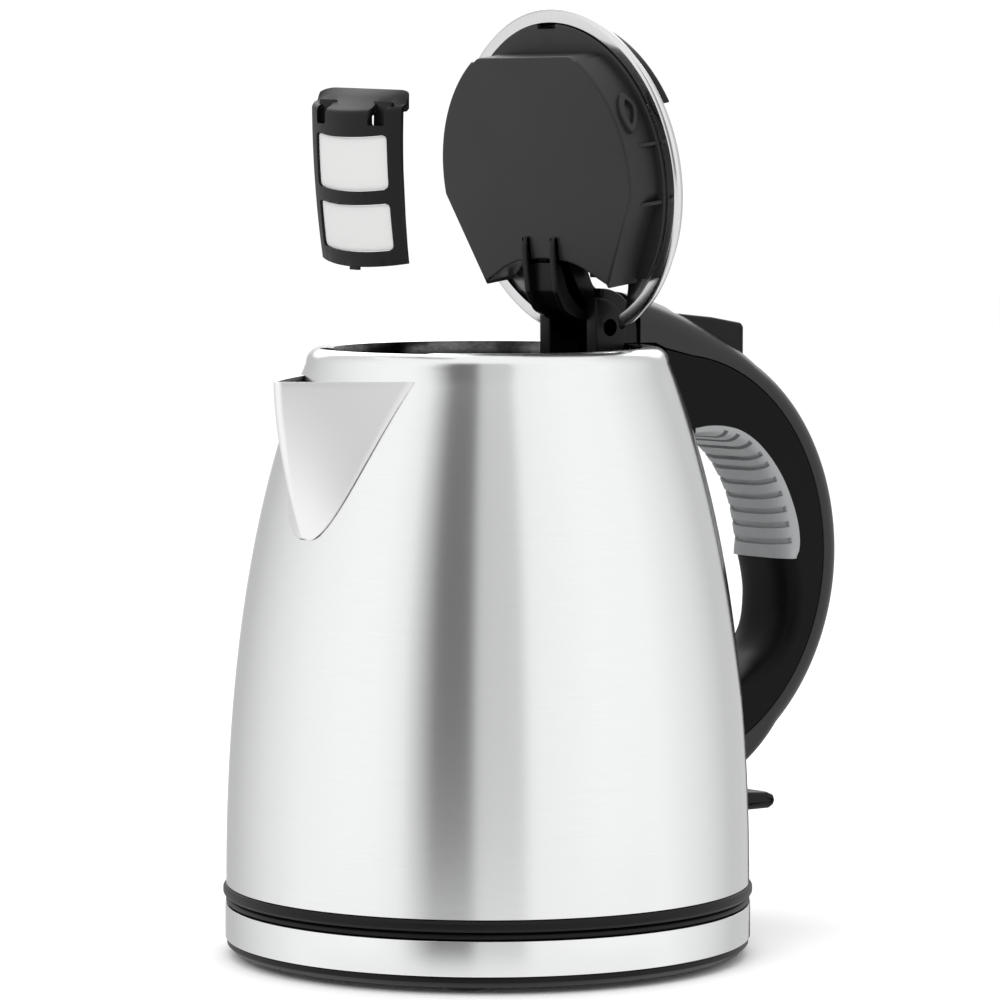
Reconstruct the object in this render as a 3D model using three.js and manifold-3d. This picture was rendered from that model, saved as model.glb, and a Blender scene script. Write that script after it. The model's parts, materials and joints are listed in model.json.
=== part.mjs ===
// Cordless electric kettle on its power base, lid open, limescale filter lifted out.
// Millimetres, +Z up. The kettle's axis is Z, the spout points to -X and the handle to +X.
// z = 0 is the flat centre of the base's underside.
import * as THREE from 'three';
import * as BufferGeometryUtils from 'three/addons/utils/BufferGeometryUtils.js';
import Module from 'manifold-3d';

const wasm = await Module();
wasm.setup();

// ---------------------------------------------------------------- driving dimensions
const GAP = 0.3;                  // running gap between pieces that touch
const ROUND = 40;                 // sides of the large turned pieces
const SMALL = 12;                 // sides of the small turned pieces

const BASE_R = 77.5;              // stainless band of the power base
const BASE_TRAY_TOP = 3.5;
const BASE_BAND_TOP = 14.1;
const BASE_TOP = 15.9;
const FOOT_CIRCLE = 64;
const FOOT_R = 7;
const FOOT_DROP = 1.5;            // how far the rubber feet stand below the tray
const POST_R = 14.5;              // centre post that plugs into the kettle
const POST_TOP = 22.5;

const RING_BOTTOM = 16.3;         // black ring under the steel body
const BODY_BOTTOM = 19.9;
const BODY_R = 77.2;
const BODY_WALL = 0.8;
const RIM_Z = 177.3;              // flat rim of the mouth
const SHOULDER_Z = 172.8;         // where the wall turns into the shoulder
const SHOULDER_R = 4.5;
const MOUTH_R = 45;
const LIP_DROP = 4;               // turned-down lip inside the mouth
const NOTCH_R = 49.8;             // how far the lip is cut back where the filter passes it
const PLATE_Z = 31;               // top of the heating plate

const SPOUT_TOP = 169.5;
const SPOUT_BOTTOM = 124.6;
const SPOUT_REACH = 10.4;         // how far the spout's ridge stands off its lowest point
const SPOUT_TIP_R = 68.2;

const HANDLE_HALF = 13;           // half the handle's width
const CROWN = { x: 65.8, z: 111, r: 68.5 };    // arc of the handle's outer face
const SEAM = { x: 62, z: 111.5, r: 62 };       // arc where the cover meets the handle
const ARC_LOW = -72;              // degrees, lower end of both arcs
const CROWN_HIGH = 65;            // degrees, where the crown runs straight on to the hinge
const SEAM_HIGH = 83;

const PIVOT = { x: 42.9, z: 186 };             // lid hinge
const PIN_R = 2;
const EAR_IN = 8.4;
const LID_Z = 179.7;              // middle of the chrome ring, lid closed
const LID_R = 49.3;
const CAP_R = 46.9;
const KNOB_R = 45.3;              // black front part of the lid's top
const LID_OPEN = 82;              // degrees
const NOTCH_HALF = 14.5;          // gap in the lid's edge round the hinge

const FILTER_BOTTOM = 203.5;      // lower corners of the filter, lifted out
const FILTER_TALL = 49;
const FILTER_DIP = 1.8;           // how much lower its edges run in the middle
const FILTER_ROLL = 1.7;          // degrees, how far it leans sideways
const HOOD_DEEP = 9;              // from its face back to the hood's rear edge
const WINDOW_HALF = 16.4;
const FILTER_X = -51.4;           // outer face at its lower edge
const FILTER_Y = -2.3;
const FILTER_LEAN = 4.5;          // how far its top stands out over its lower edge
const FILTER_CURVE = 48;          // plan radius

const SWITCH_PIVOT = { x: 84.5, z: 35.4 };
const BUTTON_PIVOT = { x: 67, z: 179.5 };

// ---------------------------------------------------------------- colours
const steel = { color: 0xcfd0d2, roughness: 0.28, metalness: 1 };
const chrome = { color: 0xdedfe1, roughness: 0.12, metalness: 1 };
const black = { color: 0x17181a, roughness: 0.42, metalness: 0 };
const softGrey = { color: 0x8f9194, roughness: 0.7, metalness: 0 };
const meshWhite = { color: 0xeeeeec, roughness: 0.7, metalness: 0 };
const rubber = { color: 0x1c1c1c, roughness: 0.85, metalness: 0 };
const brass = { color: 0xc9a24e, roughness: 0.3, metalness: 1 };
const aluminium = { color: 0xb8babc, roughness: 0.45, metalness: 1 };
const silicone = { color: 0xd9d6cf, roughness: 0.6, metalness: 0 };
const clear = { color: 0xb9c2c6, roughness: 0.1, metalness: 0 };

// ---------------------------------------------------------------- solids
const rad = (degrees) => degrees * Math.PI / 180;

function solid(geometry) {
  const bare = geometry.index ? geometry.toNonIndexed() : geometry.clone();
  bare.deleteAttribute('normal');
  bare.deleteAttribute('uv');
  const merged = BufferGeometryUtils.mergeVertices(bare, 1e-4);
  const triVerts = [];
  const index = merged.index.array;
  for (let i = 0; i < index.length; i += 3) {
    const [a, b, c] = [index[i], index[i + 1], index[i + 2]];
    if (a !== b && b !== c && c !== a) {
      triVerts.push(a, b, c);
    }
  }
  return new wasm.Manifold(new wasm.Mesh({
    numProp: 3,
    vertProperties: Float32Array.from(merged.attributes.position.array),
    triVerts: Uint32Array.from(triVerts),
  }));
}

function box(x0, x1, y0, y1, z0, z1) {
  const geometry = new THREE.BoxGeometry(x1 - x0, y1 - y0, z1 - z0);
  geometry.translate((x0 + x1) / 2, (y0 + y1) / 2, (z0 + z1) / 2);
  return solid(geometry);
}

// A turned piece: profile is a closed list of [radius, z] going round anticlockwise.
function turned(profile, sides = ROUND) {
  const points = profile.map(([r, z]) => new THREE.Vector2(r, z));
  const [first, last] = [profile[0], profile[profile.length - 1]];
  if (first[0] > 0 || last[0] > 0) {
    points.push(points[0].clone());
  }
  const geometry = new THREE.LatheGeometry(points, sides);
  geometry.rotateX(Math.PI / 2);
  return solid(geometry);
}

function disc(r, z0, z1, sides = ROUND) {
  return turned([[0, z0], [r, z0], [r, z1], [0, z1]], sides);
}

function ring(r0, r1, z0, z1, sides = ROUND) {
  return turned([[r0, z0], [r1, z0], [r1, z1], [r0, z1]], sides);
}

// An outline in x and z, as wide as y0 to y1, with rounded long edges if bevel is given.
function slab(outline, y0, y1, bevel = 0) {
  const shape = new THREE.Shape(outline.map(([x, z]) => new THREE.Vector2(x, z)));
  const geometry = new THREE.ExtrudeGeometry(shape, {
    depth: y1 - y0 - 2 * bevel,
    bevelEnabled: bevel > 0,
    bevelThickness: bevel,
    bevelSize: bevel,
    bevelOffset: -bevel,
    bevelSegments: 2,
    steps: 1,
  });
  geometry.rotateX(Math.PI / 2);
  geometry.translate(0, y1 - bevel, 0);
  return solid(geometry);
}

// An outline in x and y, from z0 up to z1.
function plate(outline, z0, z1) {
  const shape = new THREE.Shape(outline.map(([x, y]) => new THREE.Vector2(x, y)));
  const geometry = new THREE.ExtrudeGeometry(shape, { depth: z1 - z0, bevelEnabled: false });
  geometry.translate(0, 0, z0);
  return solid(geometry);
}

function rodY(r, x, z, y0, y1, sides = SMALL) {
  const geometry = new THREE.CylinderGeometry(r, r, y1 - y0, sides);
  geometry.translate(x, (y0 + y1) / 2, z);
  return solid(geometry);
}

function rodX(r, y, z, x0, x1, sides = SMALL) {
  const geometry = new THREE.CylinderGeometry(r, r, x1 - x0, sides);
  geometry.rotateZ(Math.PI / 2);
  geometry.translate((x0 + x1) / 2, y, z);
  return solid(geometry);
}

// Sections of equal length at rising z are joined into one closed body.
function loft(sections) {
  const count = sections[0].length;
  const position = [];
  const tri = (a, b, c) => position.push(...a, ...b, ...c);
  for (let i = 0; i + 1 < sections.length; i += 1) {
    for (let j = 0; j < count; j += 1) {
      const k = (j + 1) % count;
      const [a, b] = [sections[i][j], sections[i][k]];
      const [c, d] = [sections[i + 1][j], sections[i + 1][k]];
      tri(a, b, d);
      tri(a, d, c);
    }
  }
  const cap = (section, up) => {
    for (let j = 0; j < count - 1 - j; j += 1) {
      const [a, b] = [section[j], section[count - 1 - j]];
      const [c, d] = [section[j + 1], section[count - 2 - j]];
      for (const corners of c === d ? [[a, c, b]] : [[a, c, b], [c, d, b]]) {
        tri(...(up ? corners : corners.reverse()));
      }
    }
  };
  cap(sections[0], false);
  cap(sections[sections.length - 1], true);
  const geometry = new THREE.BufferGeometry();
  geometry.setAttribute('position', new THREE.Float32BufferAttribute(position, 3));
  return solid(geometry);
}

function tube(points, r, sides, steps) {
  const path = new THREE.CatmullRomCurve3(points.map((p) => new THREE.Vector3(...p)));
  const section = new THREE.Shape();
  section.absarc(0, 0, r, 0, 2 * Math.PI);
  const round = new THREE.Shape(section.getPoints(sides / 4 * 2).slice(0, -1));
  return solid(new THREE.ExtrudeGeometry(round, { steps, bevelEnabled: false, extrudePath: path }));
}

const around = (count, start, make) => {
  const made = [];
  for (let i = 0; i < count; i += 1) {
    made.push(make(rad(start + i * 360 / count), i + 1));
  }
  return made;
};

const arc = (circle, r, from, to, count) => {
  const points = [];
  for (let i = 0; i <= count; i += 1) {
    const a = rad(from + (to - from) * i / count);
    points.push([circle.x + r * Math.cos(a), circle.z + r * Math.sin(a)]);
  }
  return points;
};

// ---------------------------------------------------------------- scene
const kettleSet = new THREE.Group();

function add(name, shape, look) {
  const mesh = shape.getMesh();
  const geometry = new THREE.BufferGeometry();
  geometry.setAttribute('position', new THREE.BufferAttribute(mesh.vertProperties, 3));
  geometry.setIndex(new THREE.BufferAttribute(mesh.triVerts, 1));
  geometry.computeVertexNormals();
  const node = new THREE.Mesh(geometry, new THREE.MeshStandardMaterial(look));
  node.name = name;
  kettleSet.add(node);
}

// The screw's head is up and its shank points down, before it is turned or moved.
function screw(headR, shankR, length) {
  const head = disc(headR, 0, 1.6, SMALL);
  const slot = box(-headR, headR, -0.4, 0.4, 0.9, 2);
  return head.add(disc(shankR, -length, 0.2, SMALL)).subtract(slot);
}

// ---------------------------------------------------------------- power base
function makeBase() {
  const feet = (r, z0, z1) => around(4, 45, (a) => disc(r, z0, z1, SMALL)
    .translate([FOOT_CIRCLE * Math.cos(a), FOOT_CIRCLE * Math.sin(a), 0]));
  const screwPlace = (a) => [50 * Math.cos(a), 50 * Math.sin(a), 0];

  let tray = turned([[0, 0], [24, 0], [24.6, 0.5], [75.4, 0.5], [77, 2], [77, BASE_TRAY_TOP],
    [76.2, BASE_TRAY_TOP], [76.2, 7], [74.6, 7], [74.6, 3], [0, 3]]);
  feet(FOOT_R + GAP, -1, 1.7).forEach((hole) => { tray = tray.subtract(hole); });
  around(3, 30, (a) => disc(3.6, -1, 1.8, SMALL).add(disc(1.9, 0, 4, SMALL)).translate(screwPlace(a)))
    .forEach((hole) => { tray = tray.subtract(hole); });
  const glandCut = box(70, 80, -8.3, 8.3, BASE_TRAY_TOP - 0.01, 20);
  tray = tray.subtract(glandCut);
  add('base_tray', tray, black);

  const bandZ = BASE_TRAY_TOP + GAP;
  const band = ring(BASE_R - 0.8, BASE_R, bandZ, BASE_BAND_TOP - GAP).subtract(glandCut);
  add('base_band', band, steel);

  let cover = turned([[POST_R + GAP, 12.8], [68, 12.8], [68, BASE_BAND_TOP], [73, BASE_BAND_TOP],
    [73, 7.4], [74.6, 7.4], [74.6, BASE_BAND_TOP], [76.8, BASE_BAND_TOP], [77.3, 14.6], [77.3, 15.4],
    [76.8, BASE_TOP], [74.4, BASE_TOP], [73.8, 15.3], [30, 15.3], [26, 14.3], [POST_R + GAP, 14.3]]);
  around(3, 30, (a) => ring(1.7, 4, 3.3, 13, SMALL).translate(screwPlace(a)))
    .forEach((boss) => { cover = cover.add(boss); });
  cover = cover.subtract(box(70, 75, -8.3, 8.3, 5, BASE_BAND_TOP));
  add('base_cover', cover, black);

  const post = turned([[0, 3.3], [20, 3.3], [20, 5], [POST_R, 5], [POST_R, POST_TOP - 1.5],
    [POST_R - 1.5, POST_TOP], [10.5, POST_TOP], [10.5, 10], [7.5, 10], [7.5, POST_TOP],
    [3.3, POST_TOP], [3.3, 8], [0, 8]]);
  add('base_connector', post, black);
  add('contact_ring', ring(9.6, 10.2, 10.3, 21.5, 24), brass);
  add('contact_centre', ring(2.3, 2.9, 8.3, 21.5, SMALL), brass);

  const gland = box(70.8, BASE_R - 0.2, -8, 8, BASE_TRAY_TOP + GAP, BASE_BAND_TOP - GAP)
    .subtract(rodX(3.4, 0, 8.9, 60, 90));
  add('cord_gland', gland, black);

  feet(FOOT_R, -FOOT_DROP, 1.4).forEach((foot, i) => add(`foot_${i + 1}`, foot, rubber));
  around(3, 30, (a, i) => add(`base_screw_${i}`, screw(3.2, 1.4, 8).rotate([180, 0, 0])
    .translate([0, 0, 1.7]).translate(screwPlace(a)), aluminium));
}

// ---------------------------------------------------------------- steel body
// Radius of the body's outer face: the wall curves in more and more towards the shoulder.
function wallR(z) {
  const t = (z - 20) / 155;
  return BODY_R - 18.1 * t ** 2 - 6.7 * t ** 4;
}

function bodyProfile(inset) {
  const points = [];
  const levels = [BODY_BOTTOM, 52, 82, 108, 130, 148, 162];
  levels.forEach((z) => points.push([wallR(z) - inset, z]));
  const centre = wallR(SHOULDER_Z) - SHOULDER_R;
  for (const a of [0, 45, 90]) {
    const r = SHOULDER_R - inset;
    points.push([centre + r * Math.cos(rad(a)), SHOULDER_Z + r * Math.sin(rad(a))]);
  }
  return points;
}

// Everything inside the body's outer face, grown by more.
function bodyCore(more) {
  const outer = bodyProfile(-more);
  return turned([[0, BODY_BOTTOM - 5], [outer[0][0], BODY_BOTTOM - 5], ...outer, [0, RIM_Z + more]]);
}

// Half the spout's width where it meets the body, and its ridge, u from 0 at the bottom to 1.
const spoutHalf = (u) => 8 * u + 17.2 * u ** 0.34;
const spoutRidge = (u) => -SPOUT_TIP_R - SPOUT_REACH * (1 - (1 - Math.min(u, 1)) ** 1.6);

// The spout's outside, or with inset the hollow in it, both run on into the body.
function spoutCore(inset, uLow, uHigh, deep) {
  const sections = [];
  const levels = 7;
  for (let i = 0; i <= levels; i += 1) {
    const u = uLow + (uHigh - uLow) * (i / levels) ** 1.5;
    const z = SPOUT_BOTTOM + (SPOUT_TOP - SPOUT_BOTTOM) * u;
    const half = spoutHalf(u);
    const meet = Math.sqrt(wallR(Math.min(z, SHOULDER_Z)) ** 2 - half ** 2);
    const tip = -spoutRidge(u);
    const slope = Math.atan2(half, tip - meet);
    const front = tip - inset / Math.sin(slope);
    const at = (x) => (front - x) * Math.tan(slope);
    const nose = Math.min(1.6, (front - meet) / 2);
    const side = [[front - nose, at(front - nose)], [meet, at(meet)], [meet - deep, at(meet)]];
    sections.push([[-front + nose * 0.3, 0, z], ...side.map(([x, y]) => [-x, -y, z]),
      ...side.reverse().map(([x, y]) => [-x, y, z])]);
  }
  return loft(sections);
}

function makeBody() {
  const outer = bodyProfile(0);
  const inner = bodyProfile(BODY_WALL).reverse();
  const lip = [[MOUTH_R, RIM_Z], [MOUTH_R, RIM_Z - LIP_DROP], [MOUTH_R + BODY_WALL, RIM_Z - LIP_DROP],
    [MOUTH_R + BODY_WALL, RIM_Z - BODY_WALL]];
  let shell = turned([...outer, ...lip, ...inner]);
  const opening = spoutCore(2.4, 0.1, 0.93, 12);
  const filterNotch = disc(NOTCH_R, RIM_Z - LIP_DROP - 1, RIM_Z + 1)
    .intersect(box(-60, -30, -25, 25, 160, 190));
  const gaugeSlot = box(40, 90, -2.6, 2.6, 62, 132);
  shell = shell.subtract(opening).subtract(filterNotch).subtract(gaugeSlot);
  add('body_shell', shell, steel);

  const spout = spoutCore(0, 0.004, 1, 5)
    .subtract(spoutCore(BODY_WALL, 0.05, 1.1, 9))
    .subtract(bodyCore(GAP));
  add('spout', spout, steel);

  add('bottom_ring', turned([[74, RING_BOTTOM], [77.4, RING_BOTTOM], [78.1, 17.2], [78.1, 18.6],
    [77.4, 19.6], [75.8, 19.6], [75.8, 24], [74, 24]]), black);

  const plateR = 75.2;
  add('heating_plate', turned([[0, 29.8], [73.4, 29.8], [73.4, 26.5], [74.6, 26.5], [74.6, 29.8],
    [plateR, PLATE_Z], [0, PLATE_Z]]), steel);
  add('seal_ring', turned([[74.9, 26.5], [76, 26.5], [75.9, 30.3], [75.4, 30.3], [74.9, 29.2]]), silicone);
  add('heat_spreader', disc(56, 26.6, 29.5), aluminium);

  const element = new THREE.Shape();
  const elementR = 42;
  element.absarc(0, 0, elementR + 3.4, rad(-155), rad(155), false);
  element.absarc(0, 0, elementR - 3.4, rad(155), rad(-155), true);
  const elementBody = new THREE.ExtrudeGeometry(element, { depth: 5, bevelEnabled: false, curveSegments: 24 });
  elementBody.translate(0, 0, 21.3);
  add('heating_element', solid(elementBody), aluminium);

  const roof = POST_TOP + GAP;
  const cupIn = POST_R + GAP;
  add('kettle_connector', turned([[0, roof], [cupIn, roof], [cupIn, 17], [18, 17], [18, 20.3],
    [30, 20.3], [30, 26.2], [0, 26.2]]), black);
  add('kettle_contact_ring', ring(8.3, 9, 15.5, roof - GAP, 24), brass);
  add('kettle_contact_pin', disc(1.4, 13, roof - GAP, SMALL), brass);

  let cover = ring(18 + GAP, 73.7, 17, 19.4);
  const coverScrew = (a) => [66 * Math.cos(a), 66 * Math.sin(a), 0];
  around(3, 90, (a) => disc(1.7, 16, 20, SMALL).add(disc(3.2, 16, 18.3, SMALL)).translate(coverScrew(a)))
    .forEach((hole) => { cover = cover.subtract(hole); });
  add('bottom_cover', cover, black);
  around(3, 90, (a, i) => add(`bottom_screw_${i}`, screw(2.8, 1.3, 7).rotate([180, 0, 0])
    .translate([0, 0, 18]).translate(coverScrew(a)), aluminium));

  const guide = (y) => {
    const wall = [122, 138, 153, 168].map((z) => [-(wallR(z) - BODY_WALL - 0.6), z]);
    return slab([[-37.5, 122], [-41.5, 168], ...wall.reverse()], y, y + 1.2);
  };
  const floor = box(-wallR(121.8), -37.5, -23.8, 23.8, 121.8, 123);
  add('filter_guide', guide(22.6).add(guide(-23.8)).add(floor)
    .intersect(bodyCore(-BODY_WALL - GAP)), steel);
}

// ---------------------------------------------------------------- handle
// The line in x and z that stands off the body's back by so much.
const backLine = (off, zs) => zs.map((z) => [wallR(z) + off, z]);

// The finger gap's outline, from the spine at the top, round and back to the spine below.
const GAP_OUTLINE = [[76, 151.2], [85, 150], [92, 146.7], [98.2, 140.9], [104.5, 131.3], [109.2, 118.7],
  [111.5, 108], [112, 97], [109.5, 88], [104, 82], [97, 77.5], [88, 72]];

function seamLine(off, from = SEAM_HIGH, to = ARC_LOW) {
  return arc(SEAM, SEAM.r + off, from, to, 18);
}

function crownLine(off, to = ARC_LOW) {
  return arc(CROWN, CROWN.r + off, CROWN_HIGH, to, 18);
}

function makeHandle() {
  const frontX = 54.3;
  const spineOut = 3.9;

  const outline = [[58.4, 175.4], ...seamLine(-GAP / 2), ...backLine(spineOut + GAP, [52.8, 66]),
    ...[...GAP_OUTLINE].reverse(), ...backLine(spineOut + GAP, [151.6, 153, 160, 166, 171])];
  const cavity = [...arc(SEAM, 56.5, -48, 80, 14), ...arc(SEAM, 64, 80, -48, 14)];
  let handle = slab(outline, -HANDLE_HALF, HANDLE_HALF);
  handle = handle.subtract(slab(cavity, -9.5, 9.5));

  const padInner = GAP_OUTLINE.slice(0, 7);
  const padOuter = [[76, 154.8], [86, 153.6], [94.4, 149.9], [101.4, 143.4], [108.2, 132.8],
    [113, 119.6], [115.3, 109]];
  const pad = slab([...padInner, ...padOuter.reverse()], -HANDLE_HALF, HANDLE_HALF, 1.6);
  const padGrown = slab([[75.7, 150], ...padInner.slice(1).map(([x, z]) => [x - 1.5, z - 1.5]), [111, 107.7],
    [115.7, 108.6], ...padOuter.slice(1).map(([x, z]) => [x + GAP, z + GAP]), [75.7, 155.1]], -15, 15);
  add('grip_insert', pad, softGrey);
  handle = handle.subtract(padGrown);

  const screws = [{ z: 163, seat: 81, length: 17 }, { z: 60, seat: 86, length: 5 }];
  screws.forEach(({ z, seat }) => {
    handle = handle.subtract(rodX(2.1, 0, z, 50, 90)).subtract(rodX(3.6, 0, z, seat - GAP, 112));
  });
  const buttonPocket = box(62, 98, -8.8, 8.8, 166, 200);
  add('handle_body', handle.subtract(buttonPocket), black);

  const crown = crownLine(0);
  const coverOutline = [[frontX, 177.9], [58.4, 175.8], ...seamLine(GAP / 2),
    [wallR(50) + spineOut + GAP, 51.6], [wallR(46) + spineOut + GAP + 0.4, 46.4],
    ...crown.reverse(), [72, 184.1], [frontX, 191]];
  let cover = slab(coverOutline, -HANDLE_HALF, HANDLE_HALF);
  const hollow = [[frontX + 2.4, 173], ...seamLine(-1, SEAM_HIGH - 2, -60), ...arc(CROWN, CROWN.r - 2.4, -60,
    CROWN_HIGH, 18), [frontX + 2.4, 187.4]];
  cover = cover.subtract(slab(hollow, -10.2, 10.2));
  cover = cover.subtract(box(64.5, 97.2, -8.6, 8.6, 168, 200));
  add('handle_cover', cover, black);

  const top = BUTTON_PIVOT;
  const button = slab([[66.6, 177], [72, 172.8], [94, 170.8], [96.3, 172], [96.3, 181.2], [95.2, 182.3],
    [69.2, 185.7], [64.9, 184.6], [64.9, 181.6]], -8.2, 8.2).subtract(rodY(1.8, top.x, top.z, -9, 9))
    .subtract(box(74, 93, -6.4, 6.4, 165, 178));
  add('release_button', button, black);
  add('button_pin', rodY(1.5, top.x, top.z, -9.9, 9.9), aluminium);

  screws.forEach(({ z, seat, length }, i) => {
    add(`handle_screw_${i + 1}`, screw(3.2, 1.7, length).rotate([0, 90, 0]).translate([seat, 0, z]), aluminium);
  });

  const tubePath = arc(SEAM, 60, 56, -44, 8).map(([x, z]) => [x, 0, z]);
  add('steam_tube', tube(tubePath, 1.9, 8, 12), silicone);

  const spineOutline = [...backLine(-4, [21, 100, 150]), ...backLine(0, [169]), ...backLine(spineOut, [171, 166,
    160, 153, 146, 138, 130, 121, 112, 102, 92, 81, 70, 58, 46.4]), [88, 44.6], [88.6, 43], [88.6, 22.4], [87.4, 21]];
  let spine = slab(spineOutline, -12, 12).subtract(bodyCore(GAP));
  spine = spine.subtract(box(80.2, 90, -8.8, 8.8, 28.5, 40.5)).subtract(box(60, 90, -4.6, 4.6, 57, 137))
    .subtract(rodY(1.5, SWITCH_PIVOT.x, SWITCH_PIVOT.z, -10.8, 10.8));
  add('spine', spine, black);
  const gaugeOutline = [...backLine(-3, [57.3, 100, 136.7]), ...backLine(spineOut - 0.4, [136.7, 112, 92, 70, 57.3])];
  add('water_gauge', slab(gaugeOutline, -4.3, 4.3).subtract(bodyCore(GAP)), clear);

  const pivot = SWITCH_PIVOT;
  const lever = slab([[82, 32.8], [106.5, 32.4], [108.3, 33.4], [108.9, 34.8], [108.3, 36.5], [105.6, 37.6],
    [97, 38.3], [86.5, 38.6], [82, 37.6]], -8.3, 8.3, 0.8);
  add('switch_lever', lever.subtract(rodY(1.5, pivot.x, pivot.z, -9, 9)), black);
  add('switch_pin', rodY(1.2, pivot.x, pivot.z, -10.5, 10.5), aluminium);
}

// ---------------------------------------------------------------- hinge and lid
function makeHinge() {
  const outline = [[31, 167], [42.4, 167], [42.4, RIM_Z + GAP], [53.9, RIM_Z + GAP], [53.9, 190.4],
    [50, 192], [44, 192.4], [38.5, 191.4], [34, 188], [31, 182]];
  const pinHole = rodY(PIN_R + GAP, PIVOT.x, PIVOT.z, -20, 20);
  const ears = slab(outline, -HANDLE_HALF, HANDLE_HALF, 1)
    .subtract(box(20, 49, -EAR_IN, EAR_IN, 160, 200))
    .subtract(pinHole);
  add('hinge_housing', ears, black);
  add('hinge_pin', rodY(PIN_R, PIVOT.x, PIVOT.z, -12.4, 12.4), aluminium);
  const coil = [];
  const turns = 2;
  for (let i = 0; i <= turns * 10; i += 1) {
    const a = rad(i * 36);
    coil.push([PIVOT.x + 3.3 * Math.cos(a), 5.9 + 0.09 * i, PIVOT.z + 3.3 * Math.sin(a)]);
  }
  add('lid_spring', tube(coil, 0.5, 6, 26), steel);
}

function makeLid() {
  const openAbout = (shape) => shape.translate([-PIVOT.x, 0, -PIVOT.z]).rotate([0, LID_OPEN, 0])
    .translate([PIVOT.x, 0, PIVOT.z]);
  const notch = box(29, 60, -NOTCH_HALF, NOTCH_HALF, 150, 210);
  const onLid = (name, shape, look) => add(name, openAbout(shape), look);
  onLid('lid_ring', turned([[45.4, LID_Z - 1.1], [48.7, LID_Z - 1.1], [LID_R, LID_Z - 0.4], [LID_R, LID_Z + 0.6],
    [48.7, LID_Z + 1.2], [47.2, LID_Z + 1.2], [47.2, LID_Z - 0.2], [45.4, LID_Z - 0.2]]).subtract(notch), chrome);

  const capProfile = [[0, LID_Z + 6.2], [17, LID_Z + 5.7], [34, LID_Z + 4.2], [44.6, LID_Z + 0.9],
    [45.2, LID_Z + 0.1], [CAP_R, LID_Z + 0.1], [CAP_R, LID_Z + 3.2], [45.6, LID_Z + 4.3], [34, LID_Z + 5.8],
    [17, LID_Z + 7], [0, LID_Z + 7.4]];
  const frontPart = (r) => disc(r, LID_Z + 0.9, LID_Z + 12).intersect(box(-60, -20, -60, 60, 170, 200));
  onLid('lid_cap', turned(capProfile).subtract(notch).subtract(frontPart(KNOB_R + GAP)), steel);

  const flangeTop = LID_Z - 0.9;
  const floorZ = LID_Z - 12.8;
  const side = (r, from, to, count) => arc({ x: 0, z: 0 }, r, from, to, count);
  const front = 36.5;
  const corner = Math.asin(22 / 42.6) * 180 / Math.PI;
  const half = [[-front, 0], [-front, -21], [-35.6, -22.4], ...side(42.6, 180 + corner + 4, 275, 8),
    [31, -27.5], [27, -20], [24.2, -10], [23.5, 0]];
  const shrink = (points, by) => points.map(([x, y]) => {
    const r = Math.hypot(x, y);
    return [x * (r - by) / r, y * (r - by) / r];
  });
  const whole = (points) => [...points, ...points.slice(1, -1).reverse().map(([x, y]) => [x, -y])];
  const plug = plate(whole(half), floorZ, flangeTop);
  const hollow = plate(whole(shrink(half, 1.8)), floorZ + 1.6, flangeTop + 2);
  let flange = disc(45.1, LID_Z - 2.1, flangeTop).subtract(box(30.4, 60, -40, 40, 170, 190));
  flange = flange.subtract(box(-50, -43.5, -4, 4, 170, 190));
  let liner = flange.add(plug).subtract(hollow);
  for (const y of [33.4, -36.6]) {
    liner = liner.add(slab([[-14, floorZ + 5], [-16, floorZ + 3.4], [-24, floorZ + 3.4], [-25, floorZ + 5],
      [-25, flangeTop - 0.4], [-14, flangeTop - 0.4]], y, y + 3.2));
  }
  liner = liner.subtract(box(24, 60, -8, 8, 150, 210));
  onLid('lid_liner', liner, black);

  const armHalf = 4.9;
  const arm = slab([[24.4, 167], [33, 166.6], [38.4, 168.4], [41.6, 173], [46, 182.2], [47.4, 186], [46, 189.4],
    [42.9, 190.6], [39.6, 189.4], [37, 185], [33.5, 180], [24.4, 177.6]], -armHalf, armHalf);
  const rib = [[15.9, 166.5], [23, 164.9], [33, 164.9], [39.2, 167], [42.6, 172.6], [43.4, 177], [40, 177],
    [37.4, 172.4], [33, 169.2], [24.6, 168.8], [24.6, 166.5]];
  const ribs = slab(rib, 4.7, 7.4).add(slab(rib, -7.4, -4.7));
  onLid('lid_arm', arm.add(ribs).subtract(rodY(PIN_R + GAP, PIVOT.x, PIVOT.z, -20, 20)), black);

  const inKnob = disc(KNOB_R, LID_Z + 1.2, LID_Z + 8.2).intersect(slab([[-50, LID_Z + 1.2], [-20.3, LID_Z + 1.2],
    [-20.3, LID_Z + 7.4], [-22, LID_Z + 8.2], [-43.6, LID_Z + 8.2], [-50, LID_Z + 3]], -50, 50));
  let carved = inKnob;
  for (const [i, y] of [-6, 6].entries()) {
    const place = [-30, y, LID_Z + 0.9];
    carved = carved.subtract(disc(1.5, -1, 5.4, SMALL).translate(place));
    onLid(`knob_screw_${i + 1}`, screw(2.6, 1.2, 5).rotate([180, 0, 0]).translate(place), aluminium);
  }
  onLid('lid_knob', carved, black);
}

// ---------------------------------------------------------------- limescale filter
// The filter's face at height h, from 0 to 1, and side s, from -1 to 1, or so far behind it.
function filterPoint(h, s, behind) {
  const a = s * (19.9 + 1.4 * h) / FILTER_CURVE;
  const r = FILTER_CURVE - behind;
  const x = FILTER_X - FILTER_LEAN * (1 - (1 - h) ** 2) + FILTER_CURVE - r * Math.cos(a);
  return [x, FILTER_Y + r * Math.sin(a), FILTER_BOTTOM + FILTER_TALL * h - FILTER_DIP * (1 - s * s)];
}

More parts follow.
